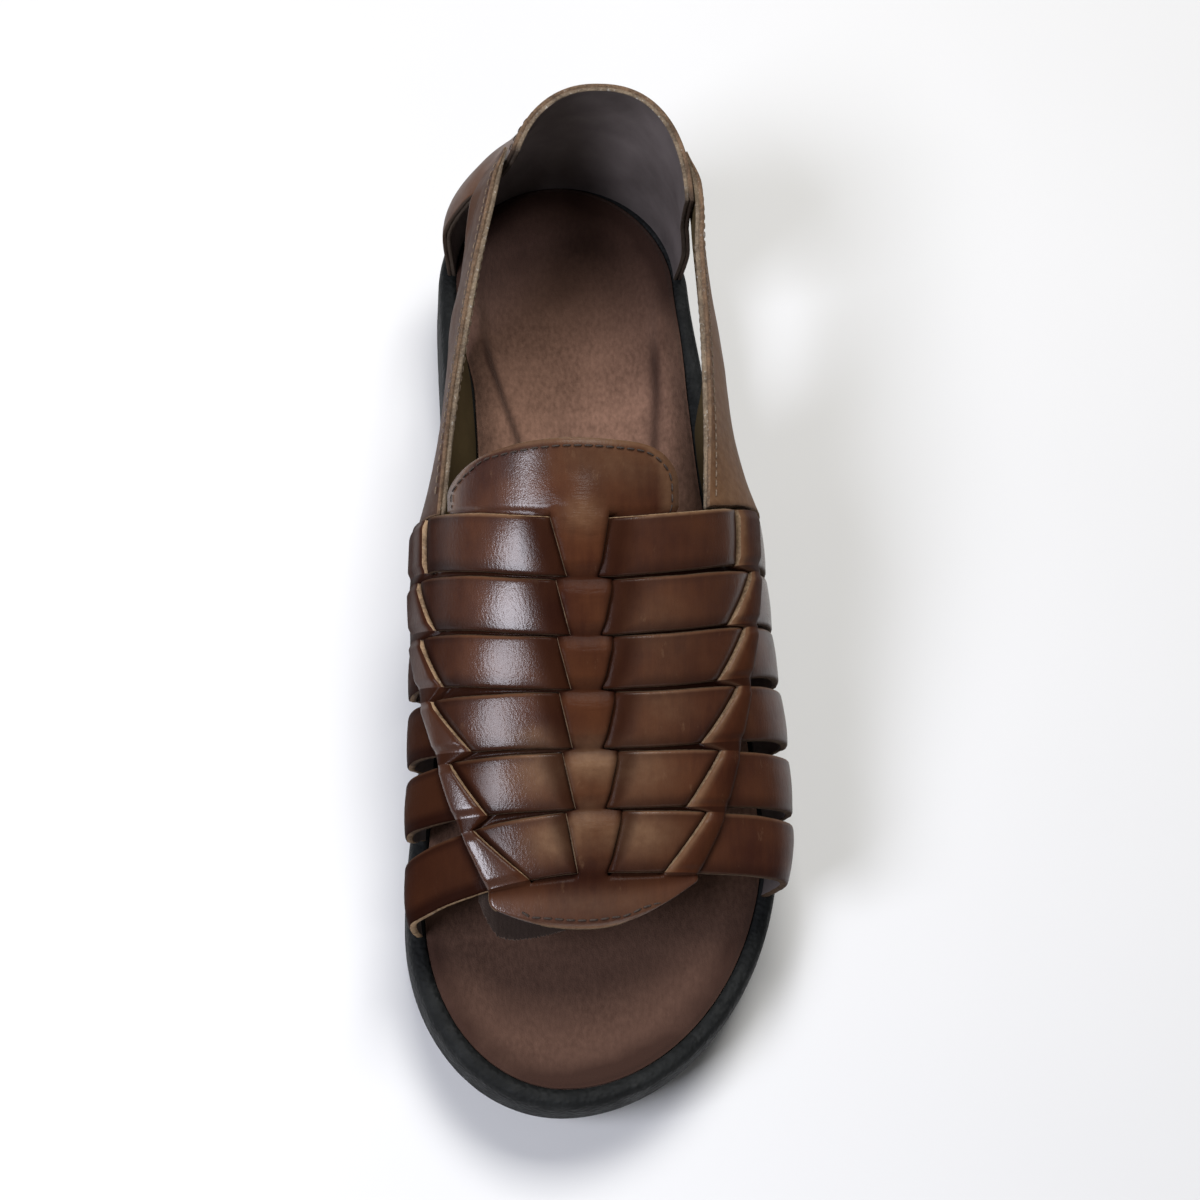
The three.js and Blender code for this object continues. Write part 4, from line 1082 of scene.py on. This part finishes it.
def band_shape(side):
    face = band_face(side)
    run = np.linspace(0, 1, BAND_ROWS)[:, None]
    drop = eased(BAND_COLUMNS)[None, :]
    lining = face(run, drop)
    along = face(np.minimum(run + BAND_STEP, 1), drop) - face(np.maximum(run - BAND_STEP, 0), drop)
    across = face(run, np.minimum(drop + BAND_STEP, 1)) - face(run, np.maximum(drop - BAND_STEP, 0))
    normal = np.cross(along, across)
    normal[:, -1, 2] = 0
    normal = unit(normal)
    normal *= np.sign(normal[..., :1]) * SIDES[side]
    thickness = BAND_THICKNESS * (SKIVED + (1 - SKIVED) * smooth(0, SKIVE_RUN, run))
    outer = above_rim(lining + normal * thickness[..., None])
    for grid in (lining, outer):
        foot = grid[:, -1, 2]
        foot -= ramp(BAND_SUNK, foot - rim_height(from_heel_of(grid[:, -1])) - SEAM_GAP)
    values = tones(outer)
    values["rub"] = np.clip(values["rub"] + BAND_RUB[side], 0, 1)
    values["dull"] = BAND_DULL[side]
    values["shade"] = BAND_SHADE[side]
    values["pale"] = np.where(drop < 0.5, BAND_PALE["top"], BAND_PALE["bottom"])
    return closed_sheet(outer, lining, edge=layered_edge, values=values), outer, lining


# Creases pressed into the plug: ends in x and from_heel, depth and half width
CREASES = (
    (-13.5, 135.4, -4.6, 140.8, 0.16, 0.8),
    (-14, 131.5, -3, 135, 0.1, 0.8),
    (1, 139, 8, 135, 0.12, 0.8),
    (-12, 143, -1, 144, 0.12, 0.7),
)
CREASE_BOW = 0.08
CREASE_FADE = 1.5
CREASE_RIDGE = {"height": 0.4, "apart": 1.9}
# Creases across the spine's knuckles: place across the strap and depth of each, and their common size
KNUCKLE_CREASES = ((-0.7, 0.05), (-0.5, 0.04))
KNUCKLE_CREASE = {"half_length": 5.5, "slant": 0.6, "half_width": 0.45}


def crease(x, s, x0, s0, x1, s1, depth, half_width):
    """Soft trough along a line with a low ridge on each side."""
    length = math.hypot(x1 - x0, s1 - s0)
    along = ((x - x0) * (x1 - x0) + (s - s0) * (s1 - s0)) / length
    bow = CREASE_BOW * length * np.sin(np.pi * np.clip(along / length, 0, 1))
    across = ((s - s0) * (x1 - x0) - (x - x0) * (s1 - s0)) / length - bow
    fade = there_and_back((-CREASE_FADE, CREASE_FADE, length - CREASE_FADE, length + CREASE_FADE), along)
    trough = np.exp(-((across / half_width) ** 2))
    ridge = np.exp(-((np.abs(across) / half_width - CREASE_RIDGE["apart"]) ** 2))
    return depth * fade * (CREASE_RIDGE["height"] * ridge - trough)


def creases(x, s):
    lines = list(CREASES)
    reach, slant, half_width = (KNUCKLE_CREASE[key] for key in ("half_length", "slant", "half_width"))
    for strap in range(1, STRAP_COUNT):
        middle = SLITS["spine_x"][strap]
        for across, depth in KNUCKLE_CREASES:
            at = STRAPS["crown"][strap] + across * STRAPS["width"][strap] / 2
            lines.append((middle - reach, at, middle + reach, at + slant, depth, half_width))
    return sum(crease(x, s, *line) for line in lines)


# Places where the finish is rubbed to tan: x, from_heel, reach in each direction, strength
RUBS = (
    (-16, 199, 8, 5, 0.65),
    (7, 198, 9, 6, 0.55),
    (12, 165, 10, 9, 0.2),
    (14, 183, 8, 6, 0.25),
    (-13, 214, 7, 5, 0.8),
    (7, 213, 9, 5, 0.7),
    (-18, 191, 6, 3, 0.5),
    (-4, 196, 5, 4, 0.8),
    (-5, 209, 4, 3, 0.5),
    (2, 127, 18, 7, 0.3),
    (-6, 141, 5, 4, 0.5),
    (-2, 229, 24, 4, 0.22),
)

# Fine wrinkles: the root of the tongue in the same terms, and the knuckles, which lie behind the middle of
# each strap by a share of its width
TONGUE_WRINKLES = (-4, 137, 12, 6, 0.7)
KNUCKLE_PLACE = 0.32
KNUCKLE_REACH = (6, 3.4)


def patches(places, x, s):
    """Sum of soft patches, each with its x, from_heel, reach in both directions and strength."""
    return sum(k * np.exp(-(((x - a) / p) ** 2) - ((s - b) / q) ** 2) for a, b, p, q, k in places)


def tones(points):
    """The value that every leather piece has: its tan wear."""
    return {"rub": np.clip(patches(RUBS, points[..., 0], from_heel_of(points)), 0, 1)}


def wrinkles(x, s):
    """Where the plug is finely wrinkled across: at the spine's knuckles and the root of the tongue."""
    places = [TONGUE_WRINKLES]
    for middle, crown, width in zip(SLITS["spine_x"], STRAPS["crown"], STRAPS["width"]):
        places.append((middle, crown - KNUCKLE_PLACE * width, *KNUCKLE_REACH, 1))
    return np.clip(patches(places, x, s), 0, 1)


# Sockets of a node that mixes colours
FACTOR, COLOUR_A, COLOUR_B, COLOUR_OUT = 0, 6, 7, 2
ALIKE = (1, 1, 1)


class Paint:
    """A new material, with short ways to add nodes to it."""

    def __init__(self, name):
        self.material = bpy.data.materials.new(name)
        self.material.use_nodes = True
        self.tree = self.material.node_tree
        self.shader = self.tree.nodes["Principled BSDF"]

    def set_input(self, socket, value):
        if isinstance(value, bpy.types.NodeSocket):
            self.tree.links.new(value, socket)
        elif socket.type == "RGBA":
            socket.default_value = (*value, 1)
        else:
            socket.default_value = value

    def set_shader(self, **values):
        for key, value in values.items():
            self.set_input(self.shader.inputs[key.replace("_", " ").title().replace("Ior", "IOR")], value)

    def node(self, kind, inputs, **settings):
        node = self.tree.nodes.new("ShaderNode" + kind)
        for key, value in settings.items():
            setattr(node, key, value)
        for key, value in inputs.items():
            self.set_input(node.inputs[key], value)
        return node

    def mix(self, factor, a, b):
        node = self.node("Mix", {}, data_type="RGBA")
        for socket, value in ((FACTOR, factor), (COLOUR_A, a), (COLOUR_B, b)):
            self.set_input(node.inputs[socket], value)
        return node.outputs[COLOUR_OUT]

    def plus(self, a, b):
        return self.node("Math", {0: a, 1: b}, operation="ADD").outputs[0]

    def minus(self, a, b):
        return self.node("Math", {0: a, 1: b}, operation="SUBTRACT").outputs[0]

    def times(self, a, b):
        return self.node("Math", {0: a, 1: b}, operation="MULTIPLY").outputs[0]

    def spread(self, value, low, high, to_low=0.0, to_high=1.0):
        inputs = {"Value": value, "From Min": low, "From Max": high, "To Min": to_low, "To Max": to_high}
        return self.node("MapRange", inputs).outputs[0]

    def place(self, stretch):
        objects = self.node("TexCoord", {}).outputs["Object"]
        return self.node("Mapping", {"Vector": objects, "Scale": stretch}).outputs[0]

    def noise(self, scale, detail, stretch=ALIKE, roughness=0.55):
        inputs = {"Vector": self.place(stretch), "Scale": scale, "Detail": detail, "Roughness": roughness}
        return self.node("TexNoise", inputs).outputs[0]

    def cells(self, scale, feature):
        inputs = {"Vector": self.place(ALIKE), "Scale": scale}
        return self.node("TexVoronoi", inputs, feature=feature).outputs["Distance"]

    def point_value(self, name):
        return self.node("Attribute", {}, attribute_name=name).outputs["Fac"]

    def bump(self, height, distance, strength=1.0, under=None):
        inputs = {"Height": height, "Distance": distance, "Strength": strength}
        if under is not None:
            inputs["Normal"] = under
        return self.node("Bump", inputs).outputs[0]


LEATHER_DARK = (0.032, 0.0095, 0.0058)
LEATHER_WARM = (0.073, 0.025, 0.011)
LEATHER_OLIVE = (0.064, 0.0225, 0.0095)
LEATHER_RUB = (0.185, 0.104, 0.057)
# Colour of painted shade on the leather
LEATHER_SHADED = (0.015, 0.0045, 0.0025)
# Specular level and coat of polished leather and of dull leather
LEATHER_SPECULAR = (0.14, 0.01)
LEATHER_COAT = (0.85, 0.0)


def leather_material():
    paint = Paint("leather")
    streaks = paint.noise(160, 3, stretch=(4, 0.5, 1))
    warmth = paint.plus(paint.noise(55, 4), paint.times(streaks, 0.3))
    colour = paint.mix(paint.spread(warmth, 0.45, 0.82), LEATHER_DARK, LEATHER_WARM)
    olive = paint.spread(paint.noise(32, 3), 0.45, 0.7, 0, 0.7)
    colour = paint.mix(olive, colour, LEATHER_OLIVE)
    scuffs = paint.noise(130, 5, stretch=(2.5, 1, 1), roughness=0.7)
    colour = paint.mix(paint.spread(scuffs, 0.64, 0.72, 0, 0.25), colour, LEATHER_RUB)
    patchy = paint.spread(paint.noise(420, 5), 0.35, 0.75, 0.7, 1.15)
    colour = paint.mix(paint.times(paint.point_value("rub"), patchy), colour, LEATHER_RUB)
    # Painted shade: each piece's shade value darkens the leather towards LEATHER_SHADED
    colour = paint.mix(paint.point_value("shade"), colour, LEATHER_SHADED)
    folds = paint.times(paint.noise(1000, 2, stretch=(0.4, 2, 1)), paint.point_value("wrinkle"))
    pebble = paint.noise(1100, 2, stretch=(1.5, 0.55, 1.5))
    grain = paint.cells(1700, "DISTANCE_TO_EDGE")
    normal = None
    for height, depth in ((folds, 0.00012), (pebble, 0.00005), (grain, 0.000025)):
        normal = paint.bump(height, depth, under=normal)
    dull = paint.point_value("dull")
    paint.set_shader(base_color=colour, normal=normal, coat_normal=normal, coat_roughness=0.22)
    paint.set_shader(roughness=paint.spread(paint.noise(300, 4), 0.3, 0.7, 0.45, 0.6))
    paint.set_shader(specular_ior_level=paint.spread(dull, 0.0, 1.0, *LEATHER_SPECULAR))
    paint.set_shader(coat_weight=paint.spread(dull, 0.0, 1.0, *LEATHER_COAT))
    return paint.material


FIBRE_SPECKS = (0.5, 0.47, 0.42)


def edge_material(name, dark, light, inner):
    """Cut edge of leather: burnished dark or worn to bare fibres, with another tone at the lining side."""
    paint = Paint(name)
    through = paint.point_value("through")
    fibres = paint.noise(1500, 5)
    patches = paint.spread(paint.plus(fibres, paint.noise(170, 3)), 0.75, 1.25, 0.35, 1.3)
    depth = paint.plus(through, paint.times(fibres, 0.2))
    bared = paint.mix(paint.spread(depth, 0.5, 0.7), light, inner)
    specks = paint.times(paint.spread(paint.noise(1100, 2), 0.62, 0.72), through)
    bared = paint.mix(specks, bared, FIBRE_SPECKS)
    colour = paint.mix(paint.times(paint.point_value("pale"), patches), dark, bared)
    paint.set_shader(base_color=colour, normal=paint.bump(fibres, 0.0003, 0.6))
    paint.set_shader(roughness=0.85, specular_ior_level=0.1)
    return paint.material


def lining_material(name, dark, light):
    paint = Paint(name)
    colour = paint.mix(paint.spread(paint.noise(45, 4), 0.3, 0.7), dark, light)
    paint.set_shader(base_color=colour, normal=paint.bump(paint.noise(1400, 4), 0.00015, 0.4))
    paint.set_shader(roughness=0.78, specular_ior_level=0.15)
    return paint.material


SUEDE_SHEEN = (0.75, 0.55, 0.45)


def suede_material(name, dark, light, darker_tone):
    paint = Paint(name)
    clouds = paint.noise(38, 4)
    nap = paint.noise(900, 5, stretch=(1, 0.55, 1))
    blend = paint.plus(clouds, paint.times(nap, 0.7))
    colour = paint.mix(paint.spread(blend, 0.6, 1.1), dark, light)
    # Point value that darkens the suede: on the insole, painted shade at the heel, edge and wing lines, and
    # darker towards the toe
    darkness = paint.times(paint.point_value("darkness"), paint.spread(clouds, 0.2, 0.8, 0.7, 1.2))
    height = paint.plus(nap, paint.times(paint.noise(3000, 3), 0.5))
    paint.set_shader(base_color=paint.mix(darkness, colour, darker_tone), normal=paint.bump(height, 0.0005, 0.6))
    paint.set_shader(roughness=0.97, specular_ior_level=0.15)
    paint.set_shader(sheen_weight=0.35, sheen_roughness=0.45, sheen_tint=SUEDE_SHEEN)
    return paint.material


RUBBER_DARK = (0.005, 0.0056, 0.0056)
RUBBER_DUSTY = (0.012, 0.0132, 0.013)


def rubber_material():
    paint = Paint("rubber")
    dust = paint.spread(paint.noise(90, 5), 0.45, 0.75)
    pebbles = paint.minus(1.0, paint.cells(850, "SMOOTH_F1"))
    normal = paint.bump(paint.noise(2600, 3), 0.0001, 0.5, under=paint.bump(pebbles, 0.0005, 0.7))
    paint.set_shader(base_color=paint.mix(dust, RUBBER_DARK, RUBBER_DUSTY), normal=normal)
    paint.set_shader(roughness=paint.spread(paint.noise(200, 4), 0.3, 0.7, 0.6, 0.8), specular_ior_level=0.2)
    return paint.material


def thread_material(name, dark, light):
    paint = Paint(name)
    twist = paint.noise(2500, 2)
    colour = paint.mix(paint.spread(twist, 0.35, 0.65), dark, light)
    paint.set_shader(base_color=colour, roughness=0.7, normal=paint.bump(twist, 0.0002, 0.6))
    return paint.material


FLOOR_TONES = ((0.74, 0.74, 0.735), (0.78, 0.78, 0.775))


def floor_material():
    paint = Paint("floor")
    paint.set_shader(base_color=paint.mix(paint.noise(6, 2), *FLOOR_TONES), roughness=0.8)
    return paint.material


def run_along(line):
    """Distance along a line at each of its points."""
    return np.concatenate([[0], np.cumsum(np.linalg.norm(np.diff(line, axis=0), axis=1))])


def read_along(line, run, at):
    return np.stack([np.interp(at, run, line[:, axis]) for axis in range(3)], -1)


def evenly(line, step):
    """Points at equal steps along a line."""
    run = run_along(line)
    return read_along(line, run, np.linspace(0, run[-1], int(run[-1] / step) + 1))


# Stitches: pitch, length and width, and their distance from the edge they run along
STITCHES = {"tongue": (2.7, 2.2, 0.5), "rim": (2.8, 2.3, 0.5), "edge": (2.8, 2.2, 0.45)}
STITCH_INSET = {"plug": 2, "band": 2, "counter": 2.4}
STITCH_LIFT = 0.15
STITCH_GRID = 0.8
THREAD_SIDES = 6
THREAD_RINGS = 7
# Height of a thread and of its arch, as shares of its width
THREAD_HEIGHT = 0.4
THREAD_ARCH = 0.3


def thread():
    """Points and faces of one stitch, from -1 to 1 along it and rounded at both ends."""
    k = np.arange(THREAD_SIDES)
    after = (k + 1) % THREAD_SIDES
    points = [[-1, 0, 0]]
    for along in np.linspace(-1, 1, THREAD_RINGS + 2)[1:-1]:
        radius = math.sqrt(1 - along**4)
        points += [[along, radius * math.cos(t), radius * math.sin(t)] for t in 2 * np.pi * k / THREAD_SIDES]
    points.append([1, 0, 0])
    rings = 1 + THREAD_SIDES * np.arange(THREAD_RINGS)
    faces = [np.stack([a + k, a + after, b + after, b + k], -1) for a, b in zip(rings, rings[1:])]
    for tip, one, other in ((0, 1 + after, 1 + k), (len(points) - 1, rings[-1] + k, rings[-1] + after)):
        faces.append(np.stack([np.full(THREAD_SIDES, tip), one, other], -1))
    return np.array(points), faces


def stitch_row(path, normals, pitch, length, width):
    """Stitches along a line: short rounded threads that dip at both ends."""
    run = run_along(path)
    points, faces = thread()
    along, beside, above = points.T[..., None]
    shapes = []
    for end in pitch * np.arange(1, int(run[-1] / pitch) + 1):
        a, b = read_along(path, run, np.array([end - length, end]))
        n = unit(read_along(normals, run, end - length / 2))
        t = unit(b - a)
        side = unit(np.cross(n, t))
        rise = above * THREAD_HEIGHT + (1 - along**2) * THREAD_ARCH
        body = (a + b) / 2 + along * t * length / 2 + width * (beside * side / 2 + rise * n)
        shapes.append(Shape(body, faces, [0] * len(faces)))
    return joined(shapes)


def nearest(points, line):
    return np.array([np.argmin(((points - point) ** 2).sum(axis=1)) for point in line])


def stitch_line(grid, normals, border, inner, distance):
    """Line on a grid's surface beside its border, towards a line further in, and the normals there."""
    points, out = grid.reshape(-1, 3), normals.reshape(-1, 3)
    edge = evenly(grid[border], STITCH_GRID)
    inside = grid[inner].reshape(-1, 3)
    inward = unit(np.cross(out[nearest(points, edge)], unit(np.gradient(edge, axis=0))))
    inward *= np.sign(np.einsum("ij,ij->i", inward, inside[nearest(inside, edge)] - edge))[:, None]
    path = edge + inward * distance
    under = nearest(points, path)
    drop = np.einsum("ij,ij->i", points[under] - path, out[under])
    return evened(path + (drop[:, None] + STITCH_LIFT) * out[under]), evened(out[under])


def evened(line, reach=2):
    """Running mean along a line."""
    padded = np.pad(line, ((reach, reach), (0, 0)), mode="reflect", reflect_type="odd")
    kernel = np.full(2 * reach + 1, 1 / (2 * reach + 1))
    return np.stack([np.convolve(padded[:, axis], kernel, "valid") for axis in range(3)], -1)


def grid_normals(grid, towards):
    normal = unit(np.cross(np.gradient(grid, axis=0), np.gradient(grid, axis=1)))
    facing = np.sign(np.einsum("ijk,ijk->ij", normal, np.broadcast_to(towards, grid.shape)))
    return normal * facing[..., None]


leather = leather_material()
raw_edge = edge_material("raw_edge", (0.026, 0.013, 0.0085), (0.33, 0.22, 0.13), (0.33, 0.22, 0.13))
layered = edge_material("layered_edge", (0.034, 0.024, 0.019), (0.19, 0.12, 0.073), (0.23, 0.175, 0.12))
lining = lining_material("lining", (0.09, 0.075, 0.072), (0.17, 0.145, 0.14))
olive_lining = lining_material("olive_lining", (0.07, 0.05, 0.022), (0.11, 0.08, 0.036))
suede = suede_material("suede", (0.115, 0.062, 0.043), (0.29, 0.163, 0.116), (0.042, 0.02, 0.014))
loose_tones = ((0.03, 0.02, 0.016), (0.066, 0.045, 0.038), (0.022, 0.014, 0.011))
loose_suede = suede_material("loose_suede", *loose_tones)
rubber = rubber_material()
dark_thread = thread_material("dark_thread", (0.016, 0.009, 0.006), (0.05, 0.028, 0.017))
tan_thread = thread_material("tan_thread", (0.08, 0.05, 0.03), (0.2, 0.14, 0.09))


# Columns left bare at each end of the rim's stitches, and rows from the rim's edge to a line further in
RIM_BARE = 3
RIM_INNER = 5


def add_plug():
    shape, top, kinds = plug_shape()
    add_piece("plug", shape, [leather, lining, raw_edge], "leather", "upper")
    normals = grid_normals(top, np.array([0, 0, 1.0]))
    root = int((kinds == "tongue").sum())
    rear = np.arange(FIRST_TONGUE, LAST_TONGUE + 1)
    rows = np.arange(root, 0, -1)
    row_path = np.concatenate([rows, np.zeros(len(rear), int), rows[::-1]])
    column_path = np.concatenate([np.full(len(rows), rear[0]), rear, np.full(len(rows), rear[-1])])
    middle = (np.full(len(row_path), root), np.full(len(row_path), SPINE_COLUMN))
    inset = STITCH_INSET["plug"]
    line = stitch_line(top, normals, (row_path, column_path), middle, inset)
    threads = [stitch_row(*line, *STITCHES["tongue"])]
    columns = np.s_[RIM_BARE:-RIM_BARE]
    line = stitch_line(top, normals, np.s_[-1, columns], np.s_[-1 - RIM_INNER, columns], inset)
    threads.append(stitch_row(*line, *STITCHES["rim"]))
    add_piece("stitches_plug", joined(threads), [dark_thread], "leather")


# Rows of a band's grid between which each face is stitched, and the column of a line further in
BAND_STITCHES = {"outer": np.s_[3:-2], "lining": np.s_[22:-2]}
BAND_INNER = 8


def add_band(side):
    shape, outer, inner = band_shape(side)
    add_piece(f"sling_band_{side}", shape, [leather, olive_lining, layered], "leather", f"band_{side}")
    threads = []
    for name, grid, facing in (("outer", outer, SIDES[side]), ("lining", inner, -SIDES[side])):
        normals = grid_normals(grid, np.array([facing, 0, 0.0]))
        rows = BAND_STITCHES[name]
        line = stitch_line(grid, normals, np.s_[rows, 0], np.s_[rows, BAND_INNER], STITCH_INSET["band"])
        threads.append(stitch_row(*line, *STITCHES["edge"]))
    add_piece(f"stitches_band_{side}", joined(threads), [tan_thread], "leather")


# A point inside the heel, and the row of a line below the collar
HEEL_MIDDLE = (0, LENGTH / 2 - 40, 50)
COLLAR_INNER = -5


def add_counter():
    shape, outer = counter_shape()
    add_piece("counter", shape, [leather, lining, layered], "leather", "heel_counter")
    normals = grid_normals(outer, outer - HEEL_MIDDLE)
    line = stitch_line(outer, normals, np.s_[-1, :], np.s_[COLLAR_INNER, :], STITCH_INSET["counter"])
    add_piece("stitches_counter", stitch_row(*line, *STITCHES["edge"]), [dark_thread], "leather")


FLAP_ROWS = 16
FLAP_COLUMNS = 60


def flap_shape():
    """Loose corner of the lining that hangs from under the front rim on the medial side."""
    run = np.linspace(0, 1, FLAP_ROWS)[:, None]
    x = np.linspace(*FLAP["x"], FLAP_COLUMNS)
    fray = sum(height * np.sin(x * along + shift) for height, along, shift in FLAP_WAVES)
    free = curve(FLAP_EDGE, "from_heel", "x")(x) + fray
    root = FLAP["root"] + FLAP["slant"] * (x - FLAP["x"][0])
    s = root + (free - root) * run
    girths = girth_at(s, np.broadcast_to(x, s.shape))
    top = raised(s, girths, np.full(s.shape, -FLAP["below"]))
    top[..., 2] -= FLAP["sag"] * run**FLAP_SAG_POWER
    bottom = top - (0, 0, FLAP["thickness"])
    return closed_sheet(top, bottom, values={"darkness": FLAP["darkness"]})


add_piece("lining_flap", flap_shape(), [loose_suede, loose_suede, loose_suede], "suede")
add_piece("sole", sole_shape(), [rubber], "rubber", "sole")
add_piece("insole", insole_shape(), [suede, suede, suede], "suede", "insole")
add_plug()
for strap in range(STRAP_COUNT):
    add_piece(f"strap_{strap + 1}", strap_shape(strap), [leather, lining, raw_edge], "leather", "upper")
for side in SIDES:
    add_band(side)
add_counter()


# Half the side of the floor, in metres
FLOOR_HALF = 4
FLOOR_CORNERS = ((-1, -1), (1, -1), (1, 1), (-1, 1))


def add_floor():
    mesh = bpy.data.meshes.new("floor")
    mesh.from_pydata([(x * FLOOR_HALF, y * FLOOR_HALF, 0) for x, y in FLOOR_CORNERS], [], [(0, 1, 2, 3)])
    mesh.materials.append(floor_material())
    floor = bpy.data.objects.new("floor", mesh)
    bpy.context.scene.collection.objects.link(floor)


# Strength of the light from all round, and the place that the lamps face, in metres
STUDIO_LIGHT = 0.045
LIT_PLACE = (0, 0, 0.04)


def add_light(name, location, size, energy, colour=(1, 1, 1)):
    data = bpy.data.lights.new(name, "AREA")
    data.color = colour
    data.shape = "RECTANGLE"
    data.size, data.size_y = size
    data.energy = energy
    light = bpy.data.objects.new(name, data)
    light.location = location
    light.rotation_mode = "QUATERNION"
    light.rotation_quaternion = (Vector(LIT_PLACE) - Vector(location)).to_track_quat("-Z", "Y")
    bpy.context.scene.collection.objects.link(light)


def add_world():
    world = bpy.data.worlds.new("studio")
    world.use_nodes = True
    background = world.node_tree.nodes["Background"]
    background.inputs["Color"].default_value = (1, 1, 1, 1)
    background.inputs["Strength"].default_value = STUDIO_LIGHT
    bpy.context.scene.world = world


def add_camera():
    data = bpy.data.cameras.new("camera")
    data.sensor_width = SENSOR
    data.lens = SENSOR * PHOTO_FOCAL_PX / PHOTO_SIZE_PX
    data.clip_start = 0.01
    camera = bpy.data.objects.new("camera", data)
    tilt = math.radians(CAMERA_ELEVATION)
    turn = math.atan((SHOE_CENTRE_PX - PHOTO_SIZE_PX / 2) / PHOTO_FOCAL_PX)
    photo_ahead = Vector((0, math.cos(tilt), -math.sin(tilt)))
    above = Vector((0, math.sin(tilt), math.cos(tilt)))
    beside = Vector((1, 0, 0))
    ahead = photo_ahead * math.cos(turn) + beside * math.sin(turn)
    right = beside * math.cos(turn) - photo_ahead * math.sin(turn)
    location = (Vector(CAMERA_PLACE) - Vector((FRAME_SHIFT, 0, 0))) / MM_PER_M
    camera.matrix_world = Matrix.Translation(location) @ Matrix((right, above, -ahead)).transposed().to_4x4()
    bpy.context.scene.collection.objects.link(camera)
    bpy.context.scene.camera = camera


add_floor()
add_world()
add_light("window", (-0.57, -0.3, 0.7), (0.38, 0.32), 6.8, (0.87, 0.89, 1))
add_light("overhead", (0.1, 0.5, 1.1), (0.6, 0.5), 13, (1, 0.99, 0.97))
add_light("fill", (0.25, -1.1, 0.4), (0.8, 0.5), 1.5)
add_camera()
bpy.context.scene.view_settings.view_transform = "Standard"
